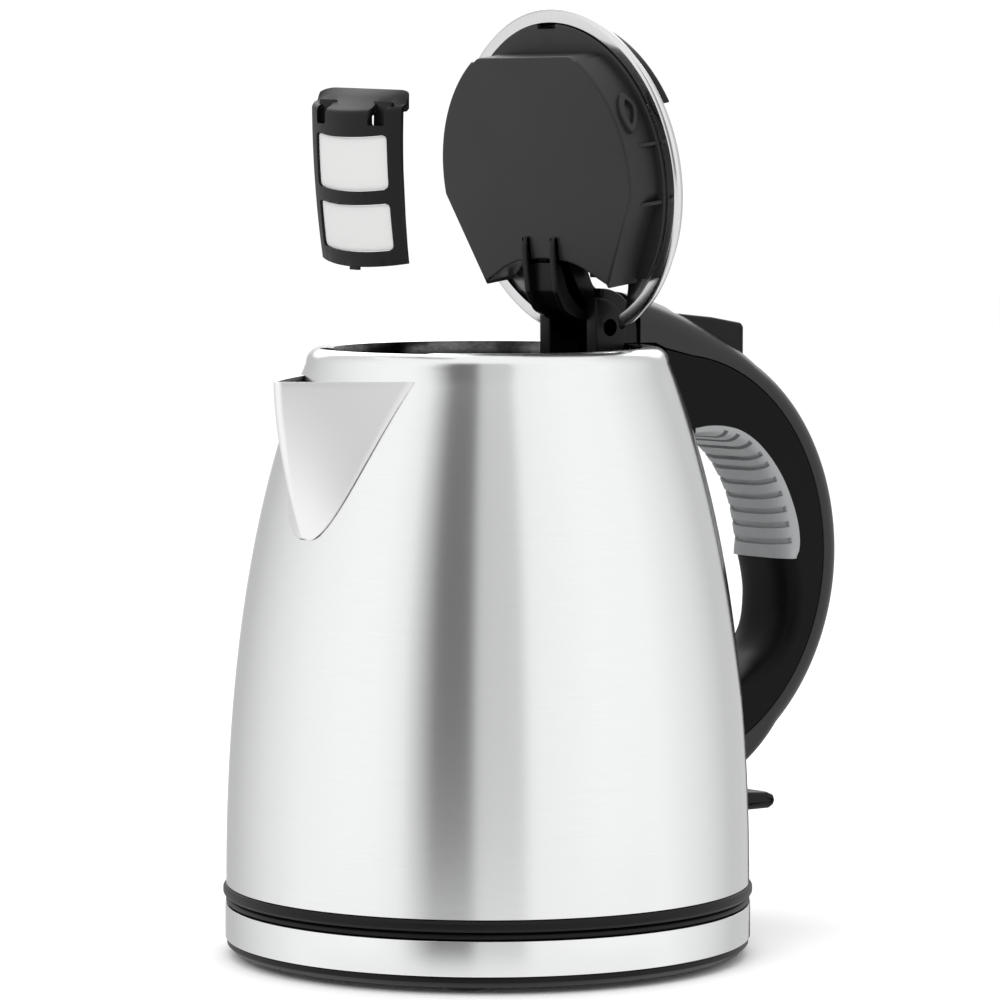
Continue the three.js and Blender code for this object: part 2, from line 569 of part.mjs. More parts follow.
// A curved sheet between the given heights, inset behind the face, with a hood on top or none.
function filterSheet(levels, inset, thick, hood = () => []) {
  const sides = [-1, -0.8, -0.5, -0.2, 0, 0.2, 0.5, 0.8, 1];
  const slices = sides.map((s) => {
    const front = levels.map((h) => filterPoint(h, s, inset));
    const back = levels.map((h) => filterPoint(h, s, inset + thick));
    return [...front, ...hood(s, front[levels.length - 1]), ...back.reverse()];
  });
  return loft(slices);
}

// The part of such a sheet within halfWide of the filter's middle.
function filterWindow([low, high], halfWide, inset, thick) {
  return filterSheet([low, (low + high) / 2, high], inset, thick)
    .intersect(box(-80, -30, FILTER_Y - halfWide, FILTER_Y + halfWide, 0, 300));
}

function makeFilter() {
  const windows = [[0.088, 0.36], [0.44, 0.755]];
  const onFilter = (name, shape, look) => {
    const middle = FILTER_BOTTOM + FILTER_TALL / 2;
    add(name, shape.translate([0, -FILTER_Y, -middle]).rotate([FILTER_ROLL, 0, 0])
      .translate([0, FILTER_Y, middle]), look);
  };
  const rearX = FILTER_X - FILTER_LEAN + HOOD_DEEP;
  const rearZ = FILTER_BOTTOM + FILTER_TALL;
  const hood = (s, [x, y, z]) => [[x + 0.6, y, z + 1.4], [rearX - s ** 8, y, rearZ],
    [rearX - s ** 8, y, rearZ - 1.5], [x + 2.4, y, z + 0.4]];
  let frame = filterSheet([0, 0.3, 0.6, 0.88], 0, 1.8, hood);
  const nub = box(FILTER_X + 0.2, FILTER_X + 1.4, FILTER_Y - 2, FILTER_Y + 2,
    FILTER_BOTTOM - FILTER_DIP - 0.9, FILTER_BOTTOM + 0.5);
  frame = frame.add(nub);
  windows.forEach((window) => {
    frame = frame.subtract(filterWindow(window, WINDOW_HALF, -2, 6));
  });
  for (const side of [-12.6, 12.6]) {
    frame = frame.subtract(box(-60, rearX - 4.4, FILTER_Y + side - 2.9, FILTER_Y + side + 2.9,
      FILTER_BOTTOM + 0.79 * FILTER_TALL, rearZ + 1));
  }
  onFilter('filter_frame', frame, black);
  windows.forEach(([low, high], i) => {
    const shift = GAP / FILTER_TALL;
    const mesh = filterWindow([low + shift, high - shift], WINDOW_HALF - GAP, 0.7, 0.5);
    onFilter(i === 0 ? 'filter_mesh_lower' : 'filter_mesh_upper', mesh, meshWhite);
  });
}

makeBase();
makeBody();
makeHandle();
makeHinge();
makeLid();
makeFilter();

export default kettleSet;
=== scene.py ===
"""Looks of the cordless electric kettle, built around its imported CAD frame.

Shapes are written in millimetres and turned into metres when their mesh is made.
The kettle's axis is Z, the spout points to -X and the handle to +X.
"""
import json
import math

import bmesh
import bpy
from mathutils import Matrix, Vector


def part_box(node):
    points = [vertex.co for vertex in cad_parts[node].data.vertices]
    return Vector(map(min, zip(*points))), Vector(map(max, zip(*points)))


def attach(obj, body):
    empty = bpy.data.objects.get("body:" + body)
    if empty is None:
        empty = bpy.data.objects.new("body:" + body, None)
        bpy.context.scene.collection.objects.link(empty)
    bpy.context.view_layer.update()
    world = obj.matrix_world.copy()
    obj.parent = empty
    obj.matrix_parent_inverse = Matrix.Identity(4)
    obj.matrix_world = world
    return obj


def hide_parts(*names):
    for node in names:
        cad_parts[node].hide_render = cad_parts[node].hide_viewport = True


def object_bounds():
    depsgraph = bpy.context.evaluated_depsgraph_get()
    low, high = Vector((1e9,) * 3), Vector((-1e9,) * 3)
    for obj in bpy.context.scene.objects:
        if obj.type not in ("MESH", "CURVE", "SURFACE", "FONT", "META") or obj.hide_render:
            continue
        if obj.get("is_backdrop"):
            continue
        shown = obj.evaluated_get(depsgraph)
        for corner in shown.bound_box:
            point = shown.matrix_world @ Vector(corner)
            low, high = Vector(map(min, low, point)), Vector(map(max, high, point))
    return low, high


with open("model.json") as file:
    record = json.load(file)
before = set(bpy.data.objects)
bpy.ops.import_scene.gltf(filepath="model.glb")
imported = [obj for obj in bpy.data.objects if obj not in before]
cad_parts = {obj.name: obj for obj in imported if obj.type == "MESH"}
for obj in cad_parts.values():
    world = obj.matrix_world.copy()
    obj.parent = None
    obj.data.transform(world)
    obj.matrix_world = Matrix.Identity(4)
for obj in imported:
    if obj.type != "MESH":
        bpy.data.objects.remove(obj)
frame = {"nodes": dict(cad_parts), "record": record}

CAD_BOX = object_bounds()
MM = 0.001


def low(node):
    """A CAD node's lowest corner, in millimetres."""
    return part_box(node)[0] / MM


def high(node):
    """A CAD node's highest corner, in millimetres."""
    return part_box(node)[1] / MM


# ---- driving sizes
FINE = 192  # sides of the large turned pieces
SMALL = 40  # sides of the small turned pieces

BODY_R = high("body_shell").x  # foot of the steel wall
BODY_LOW = low("body_shell").z
RIM = high("body_shell").z  # flat rim of the mouth
WALL = 0.8
SHOULDER_Z = RIM - 4.5
SHOULDER_R = 4.5
MOUTH_R = 45.0
NOTCH_R = 49.8  # how far the lip is cut back where the filter passes
SPOUT_TOP = high("spout").z
SPOUT_LOW = low("spout").z - 0.2
SPOUT_TIP_R = 68.2
SPOUT_REACH = 10.4

HANDLE_HALF = high("handle_cover").y
CROWN = (65.8, 111.0, 68.5)  # x, z and radius of the handle's outer arc
SEAM = (62.0, 111.5, 62.0)  # arc where the cover meets the handle
SPINE_OUT = 3.9  # how far the spine stands off the wall
CROWN_ROUND = 11.5  # how far the crown's rounding reaches in from each side
GAP = 0.3

PIVOT = (42.9, 186.0)  # lid hinge, x and z
LID_OPEN = 82.0
LID_Z = 179.7  # middle of the chrome ring, lid closed
LID_R = 49.3
CAP_R = 46.9  # steel cap on the lid
PLUG_R = 42.6  # round sides of the plug under the lid
KNOB_R = 45.3  # black front part of the lid's top

FILTER_LOW = 203.5  # the filter's lower corners
FILTER_TALL = 49.0
FILTER_DIP = 1.8  # how much lower its edges run in the middle
FILTER_ROLL = 1.7  # degrees, how far it leans sideways
FILTER_X = -51.4
FILTER_Y = -2.3
FILTER_LEAN = 4.5
FILTER_CURVE = 48.0
HOOD_DEEP = 9.0  # from the filter's face back to the hood's rear edge
WINDOW_HALF = 16.4
WINDOWS = ((0.088, 0.36), (0.44, 0.755))  # lower and upper edge, as a share of the filter's height
CLIPS = (FILTER_Y - 12.6, FILTER_Y + 12.6)
HOOD_REAR = FILTER_X - FILTER_LEAN + HOOD_DEEP


# ---- camera, lights, floor
CAMERA_TURN = math.radians(-39.8)
CAMERA_AWAY = 1.450
CAMERA_HIGH = 0.2403
CAMERA_YAW = 0.0025
CAMERA_PITCH = 0.0744
CAMERA_LENS = 178.07


def make_camera():
    """Stands at the front left of the kettle and looks slightly down at it."""
    camera = bpy.data.objects.new("camera", bpy.data.cameras.new("camera"))
    bpy.context.scene.collection.objects.link(camera)
    turn = Matrix.Rotation(CAMERA_TURN, 3, "Z")
    camera.location = turn @ Vector((0, -CAMERA_AWAY, 0)) + Vector((0, 0, CAMERA_HIGH))
    level = turn @ Vector((math.sin(CAMERA_YAW), math.cos(CAMERA_YAW), 0))
    look = level * math.cos(CAMERA_PITCH) - Vector((0, 0, math.sin(CAMERA_PITCH)))
    camera.rotation_euler = look.to_track_quat("-Z", "Y").to_euler()
    camera.data.lens = CAMERA_LENS
    camera.data.sensor_width = 36.0
    bpy.context.scene.camera = camera


make_camera()
scene = bpy.context.scene
scene.view_settings.view_transform = "Standard"


def circle(radius, sides):
    """Corners of a round outline."""
    turns = [2 * math.pi * i / sides for i in range(sides)]
    return [(radius * math.cos(a), radius * math.sin(a)) for a in turns]


def new_object(name, verts, faces):
    """An object from corners in metres."""
    mesh = bpy.data.meshes.new(name)
    mesh.from_pydata(verts, [], faces)
    obj = bpy.data.objects.new(name, mesh)
    scene.collection.objects.link(obj)
    return obj


class Paint:
    """A new material, with short ways to add and link its nodes."""

    def __init__(self, name):
        self.material = bpy.data.materials.new(name)
        self.material.use_nodes = True
        self.tree = self.material.node_tree
        self.shader = self.tree.nodes["Principled BSDF"]

    def feed(self, socket, value):
        """Links an output to the socket, or sets the socket to a constant."""
        if isinstance(value, bpy.types.NodeSocket):
            self.tree.links.new(value, socket)
        else:
            socket.default_value = (*value, 1) if socket.type == "RGBA" else value

    def feed_all(self, node, inputs):
        """Feeds inputs by name, where an underscore stands for a space."""
        for key, value in inputs.items():
            self.feed(node.inputs[key.replace("_", " ")], value)

    def node(self, kind, settings=(), **inputs):
        node = self.tree.nodes.new(kind)
        for key, value in dict(settings).items():
            setattr(node, key, value)
        self.feed_all(node, inputs)
        return node

    def finish(self, **inputs):
        """Feeds the shader's own inputs."""
        self.feed_all(self.shader, inputs)
        return self.material

    def math(self, operation, *values, kind="ShaderNodeMath", output="Value"):
        node = self.node(kind, {"operation": operation})
        for socket, value in zip(node.inputs, values):
            self.feed(socket, value)
        return node.outputs[output]

    def place(self):
        return self.node("ShaderNodeTexCoord").outputs["Object"]

    def split(self, vector):
        return self.node("ShaderNodeSeparateXYZ", Vector=vector).outputs

    def noise(self, place, scale, detail):
        return self.node("ShaderNodeTexNoise", Vector=place, Scale=scale, Detail=detail).outputs["Fac"]

    def mix(self, amount, first, second, kind="RGBA"):
        mix = self.node("ShaderNodeMix", {"data_type": kind}, Factor=amount, A=first, B=second)
        return mix.outputs["Result"]

    def ranged(self, value, middle, spread):
        """A value from 0 to 1, turned into one that is within spread of the middle."""
        low_end, high_end = middle - spread, middle + spread
        return self.node("ShaderNodeMapRange", Value=value, To_Min=low_end, To_Max=high_end).outputs[0]

    def bump(self, height, strength, distance):
        return self.node("ShaderNodeBump", Height=height, Strength=strength, Distance=distance).outputs[0]


def make_world():
    world = bpy.data.worlds.new("studio")
    world.use_nodes = True
    background = world.node_tree.nodes["Background"]
    background.inputs["Color"].default_value = (1, 1, 1, 1)
    background.inputs["Strength"].default_value = 1.03
    scene.world = world


# Brightness of the studio tent's wall, by degrees to the right of the camera as seen from the kettle.
TENT = ((-180, 0.9), (-164, 0.52), (-146, 0.57), (-112, 0.85), (-90, 0.99), (-68, 1.05), (-50, 1.05),
    (-38, 0.96), (-29, 0.5), (-23, 0.17), (-8, 0.17), (-4, 0.64), (14, 0.65), (19, 0.97), (50, 1.05),
    (80, 1.04), (110, 0.84), (132, 0.62), (150, 0.62), (160, 0.62), (180, 0.9))
TENT_BEHIND = 2.6  # brightness of the tall panel behind the kettle
TENT_TABLE = 0.95  # brightness of the white table in front
CARD_FROM = 164  # degrees where the narrow black card starts


def make_tent():
    """A round wall of light panels and dark gaps that only reflections see."""
    radius, bottom, top, sides = 2.6, -2.4, 3.2, 96
    verts = [(x, y, z) for z in (bottom, top) for x, y in circle(radius, sides)]
    tent = new_object("tent", verts, [(i, (i + 1) % sides, sides + (i + 1) % sides, sides + i)
        for i in range(sides)])
    paint = Paint("tent_light")
    paint.tree.nodes.remove(paint.shader)
    to_camera = CAMERA_TURN - math.pi / 2
    turn = paint.node("ShaderNodeVectorRotate", {"rotation_type": "Z_AXIS"}, Vector=paint.place(),
        Angle=-to_camera)
    split = paint.split(turn.outputs[0])
    angle = paint.math("ARCTAN2", split["Y"], split["X"])
    ramp = paint.node("ShaderNodeFloatCurve", Value=paint.math("MULTIPLY_ADD", angle, 0.5 / math.pi, 0.5))
    curve = ramp.mapping.curves[0]
    brightest = 1.25
    while len(curve.points) < len(TENT):
        curve.points.new(0.5, 0.5)
    for point, (degrees, value) in zip(curve.points, TENT):
        point.location = ((degrees + 180) / 360, value / brightest)
        point.handle_type = "VECTOR"
    ramp.mapping.update()

    def step(value, start, end):
        return paint.node("ShaderNodeMapRange", {"interpolation_type": "SMOOTHSTEP"}, Value=value,
            From_Min=start, From_Max=end).outputs[0]

    height = split["Z"]
    away = paint.math("ABSOLUTE", angle)
    card = math.radians(CARD_FROM)
    card_edge = math.radians(1)
    on_card = paint.math("MULTIPLY", step(angle, card - card_edge, card + card_edge),
        step(height, 0.50, 0.40))
    behind = paint.math("MULTIPLY", step(away, 2.4, 2.75), step(height, 0.6, 1.1))
    on_table = paint.math("MULTIPLY", step(height, -0.30, -0.55), step(away, 1.6, 1.2))
    glow = paint.mix(on_card, paint.math("MULTIPLY", ramp.outputs[0], brightest), 0.02, "FLOAT")
    glow = paint.mix(behind, glow, TENT_BEHIND, "FLOAT")
    glow = paint.mix(on_table, glow, TENT_TABLE, "FLOAT")
    light = paint.node("ShaderNodeEmission", Strength=glow).outputs[0]
    paint.feed(paint.tree.nodes["Material Output"].inputs["Surface"], light)
    tent.data.materials.append(paint.material)
    tent.visible_camera = False
    tent.visible_diffuse = False
    tent.visible_shadow = False
    tent.visible_transmission = False
    tent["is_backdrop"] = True


def make_floor():
    """A wide pale disc just under the feet."""
    sides = 96
    floor = new_object("floor", [(x, y, CAD_BOX[0][2]) for x, y in circle(6.0, sides)],
        [tuple(range(sides))])
    floor.data.materials.append(Paint("floor_paint").finish(Base_Color=(0.96, 0.96, 0.96), Roughness=0.9))
    floor.visible_glossy = False
    floor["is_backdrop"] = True


def make_light(name, place, size, power):
    light = bpy.data.lights.new(name, "AREA")
    light.shape = "RECTANGLE"
    light.size, light.size_y = size
    light.energy = power
    obj = bpy.data.objects.new(name, light)
    scene.collection.objects.link(obj)
    obj.location = place
    obj.rotation_euler = (Vector((0, 0, 0.12)) - Vector(place)).to_track_quat("-Z", "Y").to_euler()
    obj.visible_glossy = False
    return obj


make_world()
make_tent()
make_floor()
make_light("key", (-1.8, -0.6, 1.6), (1.2, 1.2), 14)
make_light("top", (0.2, 0.2, 2.2), (1.6, 1.6), 12)


# ---- materials
def axis_streaks(paint, along, across):
    """Noise drawn out round the Z axis, as brushing on a turned piece leaves it."""
    split = paint.split(paint.place())
    x, y = split["X"], split["Y"]
    radius = paint.math("SQRT", paint.math("ADD", paint.math("MULTIPLY", x, x),
        paint.math("MULTIPLY", y, y)))
    flat = paint.node("ShaderNodeCombineXYZ", X=paint.math("MULTIPLY", paint.math("ARCTAN2", y, x), along),
        Y=paint.math("MULTIPLY", split["Z"], across), Z=paint.math("MULTIPLY", radius, across))
    return paint.noise(flat.outputs[0], 1.0, 4.0)


def brushed(name, dark, light, rough, spread, hollow=0.0):
    """Stainless steel with fine brushing round the axis and a faint cloudiness in its sheen.

    Where the last argument is 1, faces turned towards the axis are painted with shade: a dark colour with
    lighter blotches of painted reflection, streaked like the brushing, for the dim inside of a vessel.
    """
    paint = Paint(name)
    fine = axis_streaks(paint, 9.0, 5200.0)
    broad = paint.noise(paint.place(), 14.0, 2.0)
    here = paint.node("ShaderNodeTexCoord").outputs
    vectors = "ShaderNodeVectorMath"
    outward = paint.math("MULTIPLY", here["Object"], (1, 1, 0), kind=vectors, output="Vector")
    facing = paint.math("DOT_PRODUCT", outward, here["Normal"], kind=vectors)
    # Faces turned towards the axis, which get painted shade.
    inside = paint.math("MULTIPLY", paint.math("LESS_THAN", facing, -0.02), hollow)
    # Painted shade with blotches of painted reflection, dark to mid grey.
    inside_shade_and_reflection = paint.ranged(paint.math("MULTIPLY", axis_streaks(paint, 30.0, 1500.0), broad), 0.26, 0.24)
    cloudy = paint.math("MULTIPLY", paint.math("ADD", fine, broad), 0.5)
    tangent = paint.node("ShaderNodeTangent", {"direction_type": "RADIAL", "axis": "Z"})
    return paint.finish(
        Base_Color=paint.mix(inside, paint.mix(fine, dark, light), inside_shade_and_reflection), Metallic=1.0,
        Roughness=paint.ranged(cloudy, rough, 0.035), Anisotropic=spread, Anisotropic_Rotation=0.25,
        Tangent=tangent.outputs[0], Normal=paint.bump(fine, 0.035, 0.00003))


def moulded(name, dark, light, rough, level, grain=2600.0, depth=0.05):
    """Moulded plastic or rubber with a fine spark-eroded grain and slight unevenness in its sheen."""
    paint = Paint(name)
    place = paint.place()
    fine = paint.noise(place, grain, 2.0)
    broad = paint.noise(place, 45.0, 3.0)
    return paint.finish(
        Base_Color=paint.mix(broad, dark, light), Specular_IOR_Level=level,
        Roughness=paint.ranged(broad, rough, 0.04), Normal=paint.bump(fine, depth, 0.00008))


def plain_metal(name, dark, light, rough):
    paint = Paint(name)
    cloud = paint.noise(paint.place(), 260.0, 5.0)
    return paint.finish(
        Base_Color=paint.mix(cloud, dark, light), Metallic=1.0,
        Roughness=paint.ranged(cloud, rough, 0.06), Normal=paint.bump(cloud, 0.04, 0.00005))


def woven(name):
    """Fine white nylon mesh: two sets of threads, each thread 0.3 mm wide."""
    paint = Paint(name)
    split = paint.split(paint.place())
    pitch = 2 * math.pi / 0.0006
    threads = [paint.math("ABSOLUTE", paint.math("SINE", paint.math("MULTIPLY", split[axis], pitch)))
               for axis in ("Y", "Z")]
    weave = paint.math("MAXIMUM", *threads)
    return paint.finish(
        Base_Color=paint.mix(weave, (0.50, 0.50, 0.50), (0.60, 0.60, 0.595)), Roughness=0.75,
        Subsurface_Weight=0.15, Subsurface_Radius=(0.002, 0.002, 0.002),
        Normal=paint.bump(weave, 0.25, 0.0001))


def clear_plastic(name):
    paint = Paint(name)
    cloud = paint.noise(paint.place(), 60.0, 2.0)
    return paint.finish(
        Base_Color=paint.mix(cloud, (0.60, 0.66, 0.69), (0.70, 0.75, 0.77)), IOR=1.49,
        Roughness=paint.ranged(cloud, 0.12, 0.04), Transmission_Weight=0.55)


LOOKS = {}
for maker, name, *values in (
        # A last value of 1.0 paints shade, with blotches of painted reflection, on the faces turned towards
        # the axis.
        (brushed, "steel", (0.835, 0.84, 0.845), (0.895, 0.90, 0.905), 0.2, 0.75, 1.0),
        # A near-white copy of steel for the spout: painted light on its flanks. Its last 1.0 paints shade
        # on faces turned towards the axis.
        (brushed, "spout_steel", (0.95, 0.95, 0.95), (0.985, 0.985, 0.985), 0.46, 0.1, 1.0),
        # A darker copy of steel for the lid's cap: painted shade.
        (brushed, "cap_steel", (0.60, 0.605, 0.61), (0.68, 0.685, 0.69), 0.2, 0.6),
        (brushed, "chrome", (0.71, 0.71, 0.72), (0.81, 0.81, 0.82), 0.17, 0.35),
        (moulded, "black_plastic", (0.0025, 0.0025, 0.0027), (0.0045, 0.0045, 0.0048), 0.34, 0.2),
        # A darker copy of black plastic, with less sheen, for the handle and spine: painted shade.
        (moulded, "handle_black", (0.0022, 0.0022, 0.0024), (0.0035, 0.0035, 0.0038), 0.38, 0.09),
        # A lighter, shinier copy of black plastic for the handle's crown: painted light, for the highlight
        # along its top.
        (moulded, "crown_black", (0.003, 0.003, 0.0032), (0.005, 0.005, 0.0053), 0.3, 0.46),
        (moulded, "lid_plastic", (0.012, 0.012, 0.0125), (0.020, 0.020, 0.0205), 0.40, 0.34),
        (moulded, "grip_grey", (0.25, 0.255, 0.26), (0.33, 0.335, 0.34), 0.46, 0.5, 1900.0, 0.12),
        (clear_plastic, "clear_plastic"),
        (woven, "filter_mesh"),
        (moulded, "foot_rubber", (0.012, 0.012, 0.012), (0.022, 0.022, 0.022), 0.7, 0.3, 1500.0, 0.2),
        (moulded, "silicone", (0.60, 0.58, 0.54), (0.72, 0.70, 0.66), 0.5, 0.45, 900.0, 0.04),
        (plain_metal, "brass", (0.66, 0.46, 0.18), (0.82, 0.62, 0.30), 0.3),
        (plain_metal, "aluminium", (0.55, 0.55, 0.56), (0.70, 0.70, 0.71), 0.38)):
    LOOKS[name] = maker(name, *values)
NODE_SLOT = {part["node"]: part["material_slot"] for part in frame["record"]["subparts"]}
NODE_BODY = {node: body for body, nodes in frame["record"]["behaviour"]["bodies"].items() for node in nodes}


# ---- mesh tools
def shape(name, verts, faces, sharp=32):
    """An object from corners in millimetres, smooth except where faces meet at over sharp degrees."""
    obj = new_object(name, [Vector(v) * MM for v in verts], faces)
    form = bmesh.new()
    form.from_mesh(obj.data)
    bmesh.ops.remove_doubles(form, verts=form.verts, dist=2e-7)
    bmesh.ops.dissolve_degenerate(form, dist=1e-7, edges=form.edges)
    bmesh.ops.recalc_face_normals(form, faces=form.faces)
    if form.calc_volume(signed=True) < 0:
        bmesh.ops.reverse_faces(form, faces=form.faces)
    form.to_mesh(obj.data)
    form.free()
    smooth(obj.data, sharp)
    return obj


def smooth(mesh, sharp):
    mesh.shade_smooth()
    mesh.set_sharp_from_angle(angle=math.radians(sharp))


def settle(obj, sharp=32):
    """Turns obj's modifiers into mesh."""
    depsgraph = bpy.context.evaluated_depsgraph_get()
    mesh = bpy.data.meshes.new_from_object(obj.evaluated_get(depsgraph))
    obj.modifiers.clear()
    obj.data = mesh
    smooth(mesh, sharp)
    return obj


def combine(obj, others, operation, sharp=32):
    """Cuts the others out of obj, or joins them to it, and deletes them."""
    for other in others:
        modifier = obj.modifiers.new(operation, "BOOLEAN")
        modifier.operation = operation
        modifier.solver = "EXACT"
        modifier.object = other
        settle(obj, sharp)
        bpy.data.objects.remove(other)
    return obj


def cut(obj, *others, sharp=32):
    return combine(obj, others, "DIFFERENCE", sharp)


def together(obj, *others):
    """Puts the others' meshes into obj as they are."""
    form = bmesh.new()
    for one in (obj, *others):
        form.from_mesh(one.data)
    form.to_mesh(obj.data)
    form.free()
    for other in others:
        bpy.data.objects.remove(other)
    smooth(obj.data, 32)
    return obj


def moved(obj, matrix):
    obj.data.transform(matrix)
    return obj


def shifted(obj, x, y, z):
    return moved(obj, Matrix.Translation(Vector((x, y, z)) * MM))


def dress(obj, *nodes, look=None):
    """Puts obj on the body of the CAD nodes that it stands for, gives it the material of their slot or of
    the given look, and hides the nodes.
    """
    slot = NODE_SLOT[nodes[0]]
    obj.data.materials.clear()
    obj.data.materials.append(LOOKS[look or slot])
    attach(obj, NODE_BODY[nodes[0]])
    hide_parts(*nodes)
    return obj


def bevel(obj, width, segments, limit):
    """Rounds obj's edges where faces meet at over limit degrees."""
    edge = obj.modifiers.new("edge", "BEVEL")
    edge.width = width * MM
    edge.segments = segments
    edge.limit_method = "ANGLE"
    edge.angle_limit = math.radians(limit)
    return settle(obj)


def skin(rows):
    """Faces between rows of corner numbers, where each row is a ring."""
    faces = []
    for lower, upper in zip(rows, rows[1:]):
        for i in range(len(lower)):
            j = (i + 1) % len(lower)
            faces.append((lower[i], lower[j], upper[j], upper[i]))
    return faces


def numbered(count, width):
    """Rows of corner numbers in the order in which the corners were made."""
    return [list(range(i * width, (i + 1) * width)) for i in range(count)]


def turned(name, profile, sides=FINE, sharp=32):
    """A solid of revolution: profile is [radius, z], from axis to axis or a closed loop."""
    verts, rows = [], []
    for radius, z in profile:
        ring = circle(radius, sides) if radius else [(0, 0)]
        rows.append([len(verts) + i % len(ring) for i in range(sides)])
        verts += [(x, y, z) for x, y in ring]
    if profile[0][0] > 0:
        rows.append(rows[0])
    faces = [list(dict.fromkeys(face)) for face in skin(rows)]
    return shape(name, verts, faces, sharp)


def rounded(points, radius, steps=4):
    """A closed profile with its corners rounded; radius is one number, or one for each corner."""
    radii = radius if isinstance(radius, (list, tuple)) else [radius] * len(points)
    result = []
    count = len(points)
    for i, point in enumerate(points):
        here = Vector(point)
        before, after = Vector(points[i - 1]) - here, Vector(points[(i + 1) % count]) - here
        if radii[i] <= 0 or before.length < 1e-6 or after.length < 1e-6:
            result.append(tuple(here))
            continue
        before_way, after_way = before.normalized(), after.normalized()
        opening = before_way.angle(after_way)
        if opening > math.radians(172):
            result.append(tuple(here))
            continue
        reach = min(radii[i] / math.tan(opening / 2), before.length * 0.48, after.length * 0.48)
        start, end = here + before_way * reach, here + after_way * reach
        for k in range(steps + 1):
            t = k / steps
            result.append(tuple(start * (1 - t) ** 2 + here * 2 * t * (1 - t) + end * t ** 2))
    return result


def rect(u0, u1, v0, v1):
    return [(u0, v0), (u1, v0), (u1, v1), (u0, v1)]


def turned_round(name, points, radius, sides=FINE, sharp=32):
    """A turned piece whose profile's corners off the axis are rounded."""
    radii = radius if isinstance(radius, (list, tuple)) else [radius] * len(points)
    radii = [0 if point[0] == 0 else r for point, r in zip(points, radii)]
    return turned(name, rounded(points, radii), sides, sharp)


PLACES = {
    "Y": lambda u, v, w: (u, w, v),  # outline in x and z, thickness along y
    "Z": lambda u, v, w: (u, v, w),  # outline in x and y, thickness along z
    "X": lambda u, v, w: (w, u, v),  # outline in y and z, thickness along x
}


def prism(name, outline, start, end, radius=0.0, along="Y", steps=5, depth=None, sharp=32):
    """An outline with thickness from start to end, and with its long edges rounded.

    radius is one number, or one for each corner of the outline. depth, if given, is how far in from
    start and end the rounding reaches at each corner.
    """
    area = sum(a[0] * b[1] - b[0] * a[1] for a, b in zip(outline, outline[1:] + outline[:1]))
    radii = list(radius) if isinstance(radius, (list, tuple)) else [radius] * len(outline)
    depths = list(depth) if depth else list(radii)
    if area < 0:
        outline, radii, depths = outline[::-1], radii[::-1], depths[::-1]
    count = len(outline)
    inward = []
    for i in range(count):
        a, b, c = (Vector(outline[i - 1]), Vector(outline[i]), Vector(outline[(i + 1) % count]))
        first, second = (b - a).normalized(), (c - b).normalized()
        normal = Vector((-first.y, first.x)) + Vector((-second.y, second.x))
        if normal.length < 1e-6:
            normal = Vector((-first.y, first.x))
        normal.normalize()
        reach = 1 / max(0.45, normal.dot(Vector((-first.y, first.x))))
        inward.append(normal * reach)
    place = PLACES[along]
    verts, rows = [], []

    def ring(inset, level):
        row = []
        for i in range(count):
            p = Vector(outline[i]) + inward[i] * inset(radii[i])
            row.append(len(verts))
            verts.append(place(p.x, p.y, level(depths[i])))
        rows.append(row)

    if max(radii) > 0:
        support = 0.5
        ring(lambda r: r + min(support, r), lambda d: start)
        for k in range(steps, -1, -1):
            a = math.pi / 2 * k / steps
            ring(lambda r: r * (1 - math.cos(a)), lambda d: start + d * (1 - math.sin(a)))
        for k in range(steps + 1):
            a = math.pi / 2 * k / steps
            ring(lambda r: r * (1 - math.cos(a)), lambda d: end - d * (1 - math.sin(a)))
        ring(lambda r: r + min(support, r), lambda d: end)
    else:
        ring(lambda r: 0, lambda d: start)
        ring(lambda r: 0, lambda d: end)
    return shape(name, verts, [tuple(reversed(rows[0])), tuple(rows[-1])] + skin(rows), sharp)


def block(name, x0, x1, y0, y1, z0, z1, radius=0.0):
    return prism(name, rect(x0, x1, z0, z1), y0, y1, radius)


def polar(radius, degrees):
    return radius * math.cos(math.radians(degrees)), radius * math.sin(math.radians(degrees))


def arc(x, z, radius, start, end, steps):
    """Points on an arc, from one angle in degrees to another."""
    points = [polar(radius, start + (end - start) * i / steps) for i in range(steps + 1)]
    return [(x + u, z + v) for u, v in points]


def spline(points, steps=4, closed=False):
    """A smooth line through the points (Catmull-Rom)."""
    count = len(points)
    result = []
    for i in range(count if closed else count - 1):
        if closed:
            a, b, c, d = (Vector(points[(i + k) % count]) for k in (-1, 0, 1, 2))
        else:
            a, b = Vector(points[max(i - 1, 0)]), Vector(points[i])
            c, d = Vector(points[i + 1]), Vector(points[min(i + 2, count - 1)])
        for k in range(steps):
            t = k / steps
            bend, twist = 2 * a - 5 * b + 4 * c - d, 3 * b - a - 3 * c + d
            result.append(tuple(0.5 * (2 * b + (c - a) * t + bend * t * t + twist * t ** 3)))
    if not closed:
        result.append(tuple(points[-1]))
    return result


def rod(name, radius, along, start, end, at, sides=SMALL, edge=0.2):
    """A round bar with softened ends. at is its place in the other two directions."""
    outline = arc(at[0], at[1], radius, 0, 360, sides)[:-1]
    return prism(name, outline, start, end, edge, along, 2)


def tube(name, path, radius, sides=12):
    """A round tube along a path of points in millimetres, with closed ends."""
    points = [Vector(p) for p in path]
    verts = []
    side = None
    for i, point in enumerate(points):
        way = (points[min(i + 1, len(points) - 1)] - points[max(i - 1, 0)]).normalized()
        if side is None:
            side = way.orthogonal().normalized()
        side = (side - way * side.dot(way)).normalized()
        other = way.cross(side)
        for k in range(sides):
            a = 2 * math.pi * k / sides
            verts.append(point + (side * math.cos(a) + other * math.sin(a)) * radius)
    rows = numbered(len(points), sides)
    return shape(name, verts, skin(rows) + [tuple(rows[0][::-1]), tuple(rows[-1])], 60)


def span(side, near, far):
    """Start and end of a thickness on one side of the middle."""
    return sorted((near * side, far * side))


